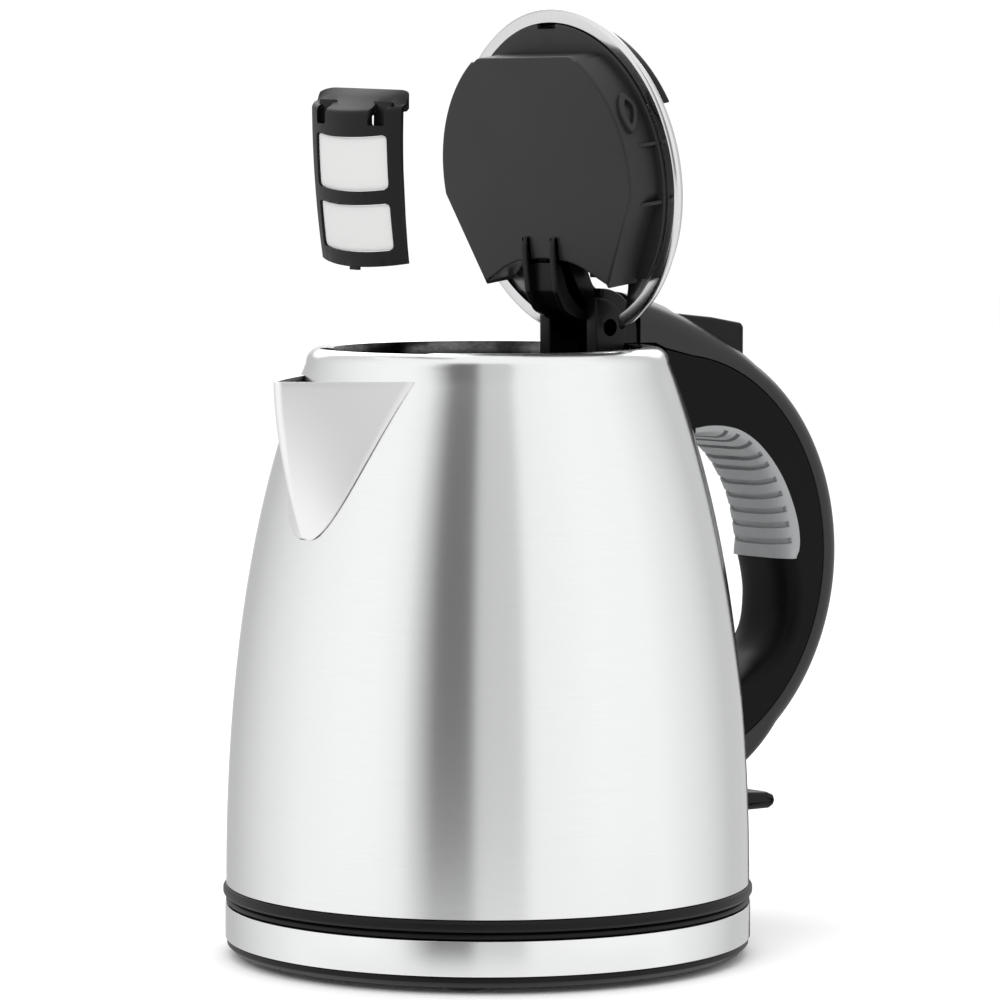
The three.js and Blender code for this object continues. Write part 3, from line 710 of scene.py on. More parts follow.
def screw(name, head_r, shank_r, length, place, turn=math.pi, axis="X"):
    """A cross-head screw at its place, drawn head up and then turned, which puts its head down."""
    head = turned_round(name, [(0, 1.6), (head_r * 0.7, 1.5), (head_r, 0.9), (head_r, 0), (shank_r, 0),
        (shank_r, -length), (0, -length)], [0, 0.3, 0.3, 0.15, 0.1, 0.3, 0], 32)
    for way in (0, 90):
        slot = block("slot", -head_r * 0.55, head_r * 0.55, -0.35, 0.35, 0.75, 3)
        cut(head, moved(slot, Matrix.Rotation(math.radians(way), 4, "Z")))
    return shifted(moved(head, Matrix.Rotation(turn, 4, axis)), *place)


def drills(places, profile, sides):
    """Round cutters, one at each place."""
    return [shifted(turned("hole", profile, sides), x, y, 0) for x, y in places]


# ---- power base
BASE_R = high("base_band").y
POST_R = 14.5


def around(count, start, radius):
    """Points evenly spaced on a circle about the axis."""
    return [polar(radius, start + 360 * i / count) for i in range(count)]


FEET = around(4, 45, 64.0)
BASE_SCREWS = around(3, 30, 50.0)
BOTTOM_SCREWS = around(3, 90, 66)


def make_base():
    tray = turned_round("tray_shell", [(0, 0), (24, 0), (24.6, 0.5), (75.4, 0.5), (77, 2), (77, 3.5),
        (76.2, 3.5), (76.2, 7), (74.6, 7), (74.6, 3), (0, 3)], 0.25)
    holes = drills(FEET, rect(0, 7.25, -1, 1.7), 64)
    holes += drills(BASE_SCREWS, rect(0, 3.5, -1, 1.75), 40)
    holes.append(block("hole", 70, 80, -8.3, 8.3, 3.5, 20))
    dress(cut(tray, *holes), "base_tray")

    cable_cut = block("cable_cut", 60, 90, -8.25, 8.25, 2, 20)
    band = turned_round("steel_band", rect(BASE_R - 0.8, BASE_R, 3.75, 13.85), [0.1, 0.3, 0.3, 0.1])
    dress(cut(band, cable_cut), "base_band")

    cover = turned_round("top_cover", [(POST_R + 0.3, 12.8), (73, 12.8), (73, 7.4), (74.6, 7.4),
        (74.6, 14.1), (76.8, 14.1), (77.3, 14.6), (77.3, 15.4), (76.8, 15.9), (74.4, 15.9), (73.8, 15.3),
        (30, 15.3), (26, 14.3), (POST_R + 0.3, 14.3)], 0.3)
    dress(cut(cover, block("cable_cut", 60, 80, -8.3, 8.3, 5, 13.9)), "base_cover")

    post = turned_round("centre_post", [(0, 3.3), (20, 3.3), (20, 5), (POST_R, 5), (POST_R, 22.5),
        (10.5, 22.5), (10.5, 10), (7.5, 10), (7.5, 22.5), (3.3, 22.5), (3.3, 8), (0, 8)],
        [0, 0.3, 0.3, 0.3, 1.2, 0.4, 0.2, 0.2, 0.4, 0.4, 0.2, 0], 96)
    dress(post, "base_connector")
    for node, *sizes in (
            ("contact_ring", 9.6, 10.2, 10.3, 21.5), ("contact_centre", 2.3, 2.9, 8.3, 21.5),
            ("kettle_contact_ring", 8.3, 9, 15.5, 22.5)):
        dress(turned_round(node + "_turned", rect(*sizes), 0.2, 72), node)
    pin = turned_round("contact_pin_turned", rect(0, 1.4, 13, 22.5), [0, 0.8, 0.1, 0], 32)
    dress(pin, "kettle_contact_pin")

    gland = prism("cable_gland", rounded(rect(-8, 8, 3.8, 13.8), 0.8), 70.9, 77.2, 0.6, "X")
    dress(cut(gland, rod("hole", 3.4, "X", 60, 90, (0, 8.9)),
              rod("hole", 4.4, "X", 75.9, 90, (0, 8.9))), "cord_gland")

    for i, (x, y) in enumerate(FEET, 1):
        foot = turned_round("rubber_foot_%d" % i, [(0, -1.1), (4.2, -1.1), (5, -1.5), (7, -1.5), (7, 1.4),
            (0, 1.4)], [0, 0.3, 0.4, 0.6, 0.3, 0], 64)
        dress(shifted(foot, x, y, 0), "foot_%d" % i)
    for i, place in enumerate(BASE_SCREWS, 1):
        dress(screw("base_fixing_%d" % i, 3.1, 1.4, 7.9, (*place, 1.65)), "base_screw_%d" % i)


# ---- steel body
def wall_r(z):
    """Outer radius of the body at a height."""
    t = (z - 20) / 155
    return BODY_R - 18.1 * t ** 2 - 6.7 * t ** 4


def wall_line(inset, start, count):
    """The wall's profile from a height up to and round the shoulder."""
    heights = [start + (SHOULDER_Z - start) * i / count for i in range(count)]
    points = [(wall_r(z) - inset, z) for z in heights]
    centre = wall_r(SHOULDER_Z) - SHOULDER_R
    return points + arc(centre, SHOULDER_Z, SHOULDER_R - inset, 0, 90, 12)


def spout_half(u):
    return 8 * u + 17.2 * max(u, 0) ** 0.34


def spout_tip(u):
    return SPOUT_TIP_R + SPOUT_REACH * (1 - (1 - min(max(u, 0), 1)) ** 1.6)


def spout_section(u, inset, nose_r, deep):
    """One level of the spout: points from one side of the body round the nose to the other."""
    z = SPOUT_LOW + (SPOUT_TOP - SPOUT_LOW) * u
    half = spout_half(u)
    meet = math.sqrt(wall_r(min(z, SHOULDER_Z)) ** 2 - half ** 2)
    tip = spout_tip(u)
    slope = math.atan2(half, tip - meet)
    front = tip - inset / math.sin(slope)
    nose = max(0.15, nose_r - inset * 0.5)
    centre = front - nose / math.sin(slope)
    turn = math.pi / 2 - slope
    flank_start = (centre + nose * math.cos(turn), nose * math.sin(turn))
    width = half - inset / math.cos(slope)
    foot = (meet - deep, width)
    side = []
    steps = 14
    for k in range(steps + 1):
        t = k / steps
        bulge = 0.55 * math.sin(math.pi * t) * (0.4 + 0.6 * u)
        x = flank_start[0] + (foot[0] - flank_start[0]) * t + bulge * math.sin(slope)
        y = flank_start[1] + (foot[1] - flank_start[1]) * t + bulge * math.cos(slope)
        side.append((x, y))
    angles = [turn * k / 5 for k in range(-4, 5)]
    round_nose = [(centre + nose * math.cos(a), nose * math.sin(a)) for a in angles]
    ordered = [(x, -y) for x, y in reversed(side)] + round_nose + side
    return [(-x, y, z) for x, y in ordered]


def sheet_mesh(name, rows, thick):
    """A thin sheet from rows of points, thickened inwards."""
    width = len(rows[0])
    faces = []
    for i in range(len(rows) - 1):
        for a in range(i * width, (i + 1) * width - 1):
            faces.append((a, a + 1, a + 1 + width, a + width))
    obj = new_object(name, [Vector(p) * MM for row in rows for p in row], faces)
    solid = obj.modifiers.new("solid", "SOLIDIFY")
    solid.thickness = thick * MM
    solid.offset = -1
    return settle(obj)


def make_spout():
    rows = []
    levels = 40
    for i in range(levels + 1):
        u = 0.004 + 0.996 * (i / levels) ** 1.7
        rows.append(spout_section(u, 0, 2.2 * min(1, 0.35 + u), 0.2))
    spout = bevel(sheet_mesh("pouring_spout", rows, WALL), 0.22, 2, 60)
    seam = []
    for side in (1, -1):
        line = [(x, y * side, z) for x, y, z in (row[0] for row in rows)]
        seam.append(tube("weld", line, 0.3, 8))
    # The spout's steel is painted lighter, as painted light.
    dress(together(spout, *seam), "spout", look="spout_steel")


def solid_spout(inset, u_low, u_high, deep):
    """The spout's filled shape, as a cutter."""
    rows = []
    levels = 16
    for i in range(levels + 1):
        u = u_low + (u_high - u_low) * (i / levels) ** 1.4
        rows.append(spout_section(u, inset, 2.2, deep))
    numbers = numbered(len(rows), len(rows[0]))
    faces = [tuple(numbers[0]), tuple(numbers[-1][::-1])] + skin(numbers)
    return shape("spout_hollow", [p for row in rows for p in row], faces)


def make_body():
    outer = wall_line(0, BODY_LOW, 34)
    inner = wall_line(WALL, BODY_LOW, 34)[::-1]
    lip = [(MOUTH_R + 0.5, RIM), (MOUTH_R + 0.15, RIM - 0.15), (MOUTH_R, RIM - 0.5), (MOUTH_R, RIM - 4),
           (MOUTH_R + WALL, RIM - 4), (MOUTH_R + WALL, RIM - WALL)]
    body = turned("steel_body", outer + lip + inner, FINE, 40)
    opening = solid_spout(2.4, 0.1, 0.93, 12)
    cut_back = arc(0, 0, NOTCH_R, 149.9, 210.1, 30) + [(-40, -25), (-40, 25)]
    notch = prism("notch", cut_back, RIM - 5, RIM + 1, 0, "Z")
    slot = block("slot", 40, 90, -2.6, 2.6, 62, 132)
    dress(cut(body, opening, notch, slot, sharp=40), "body_shell")

    low_ring = turned_round("bottom_trim", [(74, 16.3), (77.4, 16.3), (78.1, 17.2), (78.1, 18.6),
        (77.4, 19.6), (75.8, 19.6), (75.8, 24), (74, 24)], [0.1, 0.4, 0.5, 0.5, 0.3, 0.1, 0.1, 0.1])
    dress(low_ring, "bottom_ring")
    dress(turned_round("hot_plate", [(0, 29.8), (73.4, 29.8), (73.4, 26.5), (74.6, 26.5), (74.6, 29.8),
        (75.2, 31), (0, 31)], [0, 0.1, 0.1, 0.1, 0.1, 0.2, 0], 128), "heating_plate")
    dress(turned_round("plate_seal", [(74.9, 26.5), (76, 26.5), (75.9, 30.3), (75.4, 30.3), (74.9, 29.2)],
        0.15, 128), "seal_ring")
    dress(turned_round("spreader_disc", rect(0, 56, 26.6, 29.5), [0, 0.5, 0.3, 0], 96),
          "heat_spreader")
    loop = [(*polar(42, a), 23.8) for a in range(-153, 154, 3)]
    dress(tube("heater_loop", loop, 2.5, 16), "heating_element")
    socket = turned_round("kettle_socket", [(0, 22.8), (14.8, 22.8), (14.8, 17), (18, 17), (18, 20.3),
        (30, 20.3), (30, 26.2), (0, 26.2)], [0, 0.3, 0.8, 0.4, 0.3, 0.5, 0.5, 0], 96)
    dress(socket, "kettle_connector")
    cover = turned_round("bottom_lid", [(18.3, 17), (60, 17), (61, 17.4), (73.7, 17.4), (73.7, 19.4),
        (18.3, 19.4)], 0.3, 128)
    holes = drills(BOTTOM_SCREWS, [(0, 16), (3.2, 16), (3.2, 18.2), (1.7, 18.2), (1.7, 20), (0, 20)], 32)
    dress(cut(cover, *holes), "bottom_cover")
    for i, place in enumerate(BOTTOM_SCREWS, 1):
        dress(screw("bottom_fixing_%d" % i, 2.7, 1.3, 6.9, (*place, 18)), "bottom_screw_%d" % i)


# ---- handle and spine
# Lines in x and z: the grip pad's face, the whole finger gap, and the pad's seam with the handle.
PAD_LINE = [(70.6, 149.5), (76, 149.2), (82.5, 148), (88.5, 146), (93.8, 142.8), (98.9, 136.8),
    (102.8, 129.3), (104.9, 124), (106.1, 119), (107.1, 114), (108, 109.6)]
GAP_LINE = PAD_LINE + [(109.6, 103.5), (110.3, 97), (109, 88.6), (104, 82), (97, 77.5), (88, 72)]
PAD_EDGE = [(70.6, 151.3), (76.5, 151.8), (83, 151.4), (89.5, 149.8), (96, 146.2), (102, 140.8),
    (107, 134.4), (110.9, 127), (113.2, 120.5), (114, 115.5), (113.7, 112), (112.6, 109.8)]
PAD_INNER = [(64, 149.7)] + PAD_LINE + [(108.9, 105)]
PAD_OUTER = [(64, 151)] + PAD_EDGE + [(112.2, 105)]
PAD_FLARE = 2.2  # how much further the pad's rounding reaches across than in


def back_line(off, heights):
    return [(wall_r(z) + off, z) for z in heights]


def make_handle():
    seam_x, seam_z, seam_r = SEAM
    crown_x, crown_z, crown_r = CROWN
    half = HANDLE_HALF
    front = 48.4  # where the crown ends over the hinge
    drawn_to = 36  # the crown's outline runs on to here, and is cut off square at its front

    gap_line = spline(GAP_LINE, 5)[::-1]
    seam = arc(seam_x, seam_z, seam_r - 0.12, 83, -72, 60)
    upper_back = back_line(SPINE_OUT + 0.15, [151.6, 156, 161, 166, 171])
    outline = [(58.4, 175.4)] + seam + back_line(SPINE_OUT + 0.15, [52.8, 59, 66]) + gap_line + upper_back
    start = 1 + len(seam) + 3
    radii = [0.3] + [0.35] * len(seam) + [0.4] * 3 + [4.8] * len(gap_line) + [0.5] * len(upper_back)
    depth = radii[:start] + [10.0] * len(gap_line) + [0.5] * len(upper_back)
    # The gap's wide rounding runs out towards both of its ends.
    for k in range(6):
        radii[start + k] = 0.4 + 0.63 * (k + 1)
        depth[start + k] = 0.4 + 1.4 * (k + 1)
    for k in range(18):
        radii[start + len(gap_line) - 1 - k] = 0.5 + 0.22 * k
        depth[start + len(gap_line) - 1 - k] = 0.5 + 0.5 * k
    handle = prism("handle_shell", outline, -half, half, radii, "Y", 8, depth)
    pocket = cut(prism("pad_pocket", pad_outline(0.12, 1.2), -20, 20), *pad_ends(0.12))
    button_pocket = block("button_pocket", 62, 98, -8.8, 8.8, 168, 200)
    # The handle's black is painted darker, as painted shade.
    dress(cut(handle, pocket, button_pocket), "handle_body", look="handle_black")

    crown = arc(crown_x, crown_z, crown_r, -72, 60, 64)
    seam = arc(seam_x, seam_z, seam_r + 0.12, 83, -72, 60)
    foot = [(wall_r(50) + SPINE_OUT + 0.2, 51.6), (wall_r(46) + SPINE_OUT + 0.5, 46.4)]
    top = spline([crown[-1], (91.5, 176.2), (82, 181.2), (72, 185.6), (62, 189.2), (54.3, 191.4),
        (front, 192.5), (drawn_to, 194)], 4)[1:]
    start = [(drawn_to, RIM + 0.35), (51.5, RIM + 0.2), (54.6, 177.4), (58.4, 175.8)]
    outline = start + seam + foot + crown + top
    back = [max(0.8, min(8.6, math.dist(point, (seam_x, seam_z)) - seam_r - 1.6)) for point in crown + top]
    back[-1] = 0.3
    radii = [0.3] * len(start) + [0.35] * len(seam) + [0.4, 0.8] + back
    depth = [0.3] * len(start) + [0.35] * len(seam) + [0.4, 0.8] + [CROWN_ROUND] * (len(back) - 1) + [0.3]
    first = len(start) + len(seam) + 2
    # The crown's rounding runs out towards its foot.
    for k in range(10):
        depth[first + k] = 0.8 + (CROWN_ROUND - 0.8) * k / 10
        radii[first + k] = 0.8 + (radii[first + k] - 0.8) * k / 10
    cover = prism("handle_crown", outline, -half, half, radii, "Y", 12, depth, 40)
    well = prism("button_well", rounded(rect(64.5, 97.2, -8.6, 8.6), 1.4), 167, 200, 0, "Z")
    hinge_room = block("hinge_room", 46, 54.3, -9.2, 9.2, RIM - 2, RIM + 11.2)
    past_front = block("past_front", 20, front, -20, 20, 160, 210)
    # The crown's black is painted lighter and shinier, as painted light.
    dress(cut(cover, well, past_front, hinge_room), "handle_cover", look="crown_black")

    make_grip()

    button = [(66.8, 177), (72, 172.8), (93, 170.8), (95, 172), (95, 181.1), (94, 182.3), (82, 184.3),
              (69.2, 185.6), (65.1, 184.5), (65, 181.6)]
    lever = prism("thumb_lever", rounded(button, 1.2), -8.1, 8.1, 1.1, "Y", 5)
    ribs = [rod("rib", 0.45, "Y", -6, 6, (x, 183.2 + (83 - x) * 0.13), 16, 0.4) for x in (88, 90.5, 93)]
    dress(together(lever, *ribs), "release_button")
    dress(rod("lever_pin", 1.5, "Y", -9.9, 9.9, (67, 179.5)), "button_pin")

    for i, (z, seat, length) in enumerate(((163, 81, 17), (60, 86, 5)), 1):
        fixing = screw("handle_fixing_%d" % i, 3.1, 1.7, length, (seat, 0, z), math.pi / 2, "Y")
        dress(fixing, "handle_screw_%d" % i)
    path = [(x, 0, z) for x, z in arc(seam_x, seam_z, 60, 56, -44, 40)]
    dress(tube("steam_pipe", path, 1.85, 16), "steam_tube")


def pad_outline(grow, past):
    """The grip pad's outline, grown outwards, reaching past the finger gap's surface and past both ends."""
    lines = []
    for line, way, far in ((spline(PAD_INNER, 5), -1, past), (spline(PAD_OUTER, 5), 1, grow)):
        grown = []
        for i, point in enumerate(line):
            ahead = Vector(line[min(i + 1, len(line) - 1)]) - Vector(line[max(i - 1, 0)])
            normal = Vector((-ahead.y, ahead.x)).normalized() * way
            grown.append(tuple(Vector(point) + normal * far))
        lines.append(grown)
    return lines[0] + lines[1][::-1]


def pad_ends(past):
    """Blocks that cut the pad's shape off square at both ends."""
    start, end = PAD_LINE[0][0] - past, PAD_LINE[-1][1] - past
    return block("pad_start", 50, start, -30, 30, 140, 165), block("pad_end", 90, 130, -30, 30, 90, end)


def pad_round(point):
    """How far the pad's long edges are rounded at a point of its inner line."""
    thick = min(math.dist(point, other) for other in spline(PAD_OUTER, 5))
    return min(4.8, 0.9 * thick - 0.8)


def make_grip():
    """Grey soft pad on the inside of the handle, with ribs cut across it."""
    half = HANDLE_HALF + 0.12
    inner = spline(PAD_INNER, 5)
    outline = pad_outline(0.0, 0.15)
    radii = [0.3] + [pad_round(point) for point in inner[1:-1]] + [0.3]
    flat = [0.3] * (len(outline) - len(inner))
    depth = [PAD_FLARE * r for r in radii] + flat
    pad = prism("soft_grip", outline, -half, half, radii + flat, "Y", 8, depth)
    cut(pad, *pad_ends(0))
    path = spline(PAD_LINE, 8)
    lengths = [0.0]
    for a, b in zip(path, path[1:]):
        lengths.append(lengths[-1] + (Vector(b) - Vector(a)).length)
    grooves = 10
    first, last = 12.3, lengths[-1] - 5.2
    for n in range(grooves):
        target = first + (last - first) * n / (grooves - 1)
        i = min(range(len(lengths)), key=lambda k: abs(lengths[k] - target))
        here = Vector(path[i])
        way = (Vector(path[min(i + 1, len(path) - 1)]) - Vector(path[i - 1])).normalized()
        groove = groove_cutter(half, pad_round(path[i]))
        out = Vector((-way.y, way.x))
        place = Matrix((
            (out.x, 0, -way.x, here.x * MM), (0, 1, 0, 0), (out.y, 0, -way.y, here.y * MM), (0, 0, 0, 1)))
        cut(pad, moved(groove, place))
    dress(pad, "grip_insert")


def groove_cutter(half, reach):
    """A plate hollowed like the pad: its local x goes into the pad, y is the width and z runs along it."""
    deep, wide = 0.85, 0.92
    side = PAD_FLARE * reach
    curve = []
    for a in range(0, 66, 5):
        across, down = math.sin(math.radians(a)), 1 - math.cos(math.radians(a))
        curve.append((deep + reach * down, half - side + (side - deep) * across))
    outline = [(-1.5, -half), (-1.5, half), (curve[-1][0], half)] + curve[::-1]
    outline += [(x, -y) for x, y in curve] + [(curve[-1][0], -half)]
    return prism("groove", outline, -wide, wide, 0, "Z")


def make_spine():
    levels = [21, 60, 100, 150]
    inner = back_line(0.15, levels + [169])
    outer = back_line(SPINE_OUT, [171, 169, 166, 163, 160, 156, 153, 149, 146, 142, 138, 134, 130, 125, 121,
        116, 112, 107, 102, 97, 92, 86, 81, 75, 70, 64, 58, 52, 46.4])
    foot = rounded([(88, 44.6), (88.5, 42.5), (88.5, 22.4), (87.2, 21)], 0.8)
    outline = inner + outer + foot
    radii = [0.15] * len(inner) + [1.6] * len(outer) + [1.0] * len(foot)
    spine = prism("back_spine", outline, -11.9, 11.9, radii, "Y", 6)
    pocket = prism("pocket", rounded(rect(-8.8, 8.8, 28.5, 40.5), 1.2), 80.2, 92, 0, "X")
    window = prism("window", rounded(rect(-4.6, 4.6, 57, 137), 3), 58, 92, 0, "X")
    # The spine's black is painted darker, as painted shade.
    dress(cut(spine, pocket, window), "spine", look="handle_black")

    gauge = back_line(0.2, [57.4, 70, 80, 92, 104, 112, 120, 136.6])
    gauge += back_line(SPINE_OUT - 0.4, [136.6, 120, 112, 104, 92, 80, 70, 57.4])
    window = prism("level_window", gauge, -4.25, 4.25, 0.5, "Y", 3)
    ticks = []
    for n in range(7):
        z = 68 + 9.5 * n
        wide = 2.6 if n % 2 == 0 else 1.6
        x = wall_r(z) + SPINE_OUT - 0.42
        ticks.append(block("tick", x, x + 0.12, -wide, wide, z - 0.3, z + 0.3))
    dress(window, "water_gauge")
    marks = together(*ticks)
    marks.name = "level_marks"
    marks.data.materials.append(LOOKS["filter_mesh"])
    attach(marks, "kettle")

    lever = [(82, 32.8), (95, 32.55), (106.5, 32.4), (108.3, 33.3), (108.9, 34.8), (108.3, 36.5),
        (105.6, 37.6), (97, 38.3), (86.5, 38.6), (82, 37.6)]
    rocker = prism("rocker_lever", rounded(lever, 0.8), -8.3, 8.3, 1.5, "Y", 6)
    dress(rocker, "switch_lever")
    dress(rod("rocker_pin", 1.2, "Y", -10.5, 10.5, (84.5, 35.4)), "switch_pin")


# ---- hinge and lid
def make_hinge():
    px, pz = PIVOT
    seat = RIM + 0.06
    ear_line = [(31, 167), (42.2, 167), (42.2, seat)] + arc(31.6, 180, 11.4, 0, 90, 14) + [(31, 191.4)]
    drum_line = [(34.4, seat), (48, seat)] + arc(34, 180, 14, 4, 92, 18)
    parts = []
    for side in (1, -1):
        ear = prism("ear", ear_line, *span(side, 8.4, 13), 0.5, "Y", 4)
        drum = prism("drum", drum_line, *span(side, 8.4, 12.3), 0.6, "Y", 4)
        for part in (ear, drum):
            cut(part, rod("recess", 2.6, "Y", *span(side, 10, 20), (36.4, 182.4)),
                rod("bore", 2.3, "Y", *span(side, 0, 11.6), (px, pz)))
        parts += [ear, drum, block("cheek", 46, 53.9, *span(side, 7.8, 8.9), seat, RIM + 10.6, 0.3)]
    parts.append(block("hinge_floor", 45.3, 49, -8.8, 8.8, seat, RIM + 1.7, 0.2))
    housing = together(block("hinge_block", 48.6, 53.9, -8.8, 8.8, seat, RIM + 10.8, 0.4), *parts)
    pads = [block("pad", 31.6, 36.2, 9.6 * s - 1.2, 9.6 * s + 1.2, RIM + 2, RIM + 6, 0.5) for s in (1, -1)]
    together(housing, *pads)
    dress(housing, "hinge_housing")
    dress(rod("hinge_axle", 2.0, "Y", -11.4, 11.4, (px, pz), edge=0.4), "hinge_pin")
    coil = [(x, 5.9 + 0.03 * i, z) for i, (x, z) in enumerate(arc(px, pz, 3.3, 0, 720, 60))]
    dress(tube("torsion_spring", coil, 0.5, 10), "lid_spring")


def opened(obj):
    """Swings a lid piece from closed, as it is drawn, to open."""
    pivot = Vector((PIVOT[0], 0, PIVOT[1])) * MM
    turn = Matrix.Rotation(math.radians(LID_OPEN), 4, "Y")
    return moved(obj, Matrix.Translation(pivot) @ turn @ Matrix.Translation(-pivot))


def make_lid():
    def notch(half, corner):
        outline = rounded(rect(29, 60, -half, half), corner)
        return prism("notch", outline, 150, 210, 0, "Z")

    rim = [(45.2, LID_Z - 1.1), (48.4, LID_Z - 1.15), (LID_R, LID_Z - 0.5), (LID_R, LID_Z + 0.7),
        (48.6, LID_Z + 1.2), (47.2, LID_Z + 1.2), (47.2, LID_Z - 0.2), (45.2, LID_Z - 0.2)]
    band = turned_round("rolled_rim", rim, [0.2, 0.9, 0.8, 0.6, 0.4, 0.2, 0.1, 0.1], FINE, 50)
    dress(opened(cut(band, notch(17.5, 2), sharp=50)), "lid_ring")

    dome = spline([(0, LID_Z + 7.4), (17, LID_Z + 7), (34, LID_Z + 5.7), (44.2, LID_Z + 4.5)], 6)
    side = rounded([(44.2, LID_Z + 4.5), (CAP_R, LID_Z + 4), (CAP_R, LID_Z + 0.1)], [0, 1.6, 0])[1:]
    under = [(45.2, LID_Z + 0.1), (44.6, LID_Z + 0.9), (34, LID_Z + 4.2), (17, LID_Z + 5.7),
        (0, LID_Z + 6.2)]
    cap = turned("domed_cap", dome + side + under, FINE, 40)
    knob_room = front_part(KNOB_R + GAP, LID_Z + 0.9, LID_Z + 12, -20)
    # The cap's steel is painted darker, as painted shade.
    dress(opened(cut(cap, notch(19, 5), knob_room, sharp=40)), "lid_cap", look="cap_steel")

    make_liner()
    make_arm()

    knob = front_part(KNOB_R, LID_Z + 1.2, LID_Z + 8.2, -20.3, 1.5)
    dress(opened(knob), "lid_knob")
    for i, y in enumerate((-6, 6), 1):
        fixing = screw("knob_fixing_%d" % i, 2.5, 1.2, 4.9, (-30, y, LID_Z + 0.9))
        dress(opened(fixing), "knob_screw_%d" % i)


def front_part(radius, z0, z1, cut_at, edge=0.0):
    """A round disc's front part, from its edge to a straight back at x = cut_at."""
    half_turn = math.degrees(math.acos(-cut_at / radius))
    outline = arc(0, 0, radius, 180 - half_turn, 180 + half_turn, 60)
    return prism("front_part", outline, z0, z1, edge, "Z", 5)


def plug_outline():
    """The plug under the lid: flat in front, round at the sides, hollowed at the hinge."""
    corner = math.degrees(math.asin(22 / PLUG_R))
    half = [(-36.5, 0), (-36.5, -19.5), (-36.2, -21.2), (-35.2, -22.8)]
    half += arc(0, 0, PLUG_R, 180 + corner + 3, 276, 30) + [(31.6, -27.6), (30.6, -27)]
    half += spline([(28.6, -22.6), (26.0, -17), (24.2, -10), (23.5, 0)], 5)
    return half + [(x, -y) for x, y in half[-2:0:-1]]


def make_liner():
    flange_top = LID_Z - 0.9
    floor = LID_Z - 12.8
    plug = prism("lid_plug", plug_outline(), floor, flange_top, 0.7, "Z", 5, sharp=30)
    flange = turned_round("flange", rect(0, 44.9, LID_Z - 2.1, flange_top), [0, 0.4, 0.2, 0])
    cut(flange, block("back", 30.4, 60, -40, 40, 170, 190), block("front", -50, -43.5, -4, 4, 170, 190))
    liner = combine(flange, [plug], "UNION")
    hollow = prism("hollow", rect(24.6, 60, -8, 8), 150, 210, 0, "Z")
    cut(liner, hollow)
    extras = []
    for side in (1, -1):
        hook = spline([(-6.2, floor + 6), (-2.7, floor + 3), (1.8, floor + 2.2), (6.2, floor + 3.6),
            (3.3, floor + 7), (-1.7, floor + 9)], 5, True)
        loop = prism("hook", hook, *span(side, 40.2, 43.9), 0.4)
        hole = spline([(-3.9, floor + 5.8), (-1.2, floor + 4.2), (1.8, floor + 3.7), (3.9, floor + 4.4),
            (1.8, floor + 6.2), (-1.7, floor + 7.4)], 5, True)
        cut(loop, prism("hole", hole, -60, 60))
        extras.append(moved(loop, Matrix.Rotation(math.radians(26.6 * side), 4, "Z")))
        for x in (-9.7, 7.5):
            rib = [(38.5, floor + 3.5), (41.2, floor + 5), (42.9, floor + 8), (43.5, flange_top - 0.6),
                   (38.5, flange_top - 0.6)]
            rib = [(y * side, z) for y, z in rib]
            extras.append(prism("gusset", rib, x - 0.55, x + 0.55, 0.25, "X", 2))
    together(liner, *extras)
    liner.name = "lid_underside"
    dress(opened(liner), "lid_liner")


def make_arm():
    """A solid arm with two spear-ended webs that run from the plug down to the hinge pin."""
    px, pz = PIVOT
    web = rounded(
        [(15.9, 166.6), (19.5, 165.3), (24, 164.9), (33, 164.9), (39, 167), (42.4, 172.6), (43.3, 177),
         (40.4, 177), (37.4, 172.4), (33, 169.6), (24.6, 169), (24.5, 166.7)],
        [0.3, 1, 2, 3, 5, 5, 0.5, 0.5, 4, 3, 0.2, 0.2])
    webs = [prism("web", web, *span(side, 5.2, 7.4), 0.35, "Y", 4) for side in (1, -1)]
    plate = rounded(
        [(24.6, 167.3), (33, 166.8), (38.2, 168.6), (41.4, 173.4), (46, 182.2), (47.3, 186), (45.9, 189.2),
         (42.9, 190.5), (39.6, 189.2), (37, 185), (33.5, 180), (24.6, 177.4)],
        [0.2, 3, 4, 5, 5, 3, 3, 3, 3, 4, 4, 0.4])
    arm = cut(prism("hinge_arm", plate, -6.3, 6.3, 0.4), rod("bore", 2.3, "Y", -20, 20, PIVOT))
    together(arm, *webs)
    dress(opened(arm), "lid_arm")


# ---- limescale filter
def filter_point(side, h, behind, half=None):
    """A point of the filter's curved wall at side -1 to 1 and height 0 to 1, or so far behind its face."""
    a = side * (half or 19.9 + 1.4 * h) / FILTER_CURVE
    dip = FILTER_DIP * (1 - (math.degrees(a) / 24.6) ** 2)
    radius = FILTER_CURVE - behind
    x = FILTER_X - FILTER_LEAN * (1 - (1 - h) ** 2)
    return (x + FILTER_CURVE - radius * math.cos(a), FILTER_Y + radius * math.sin(a),
        FILTER_LOW + FILTER_TALL * h - dip)


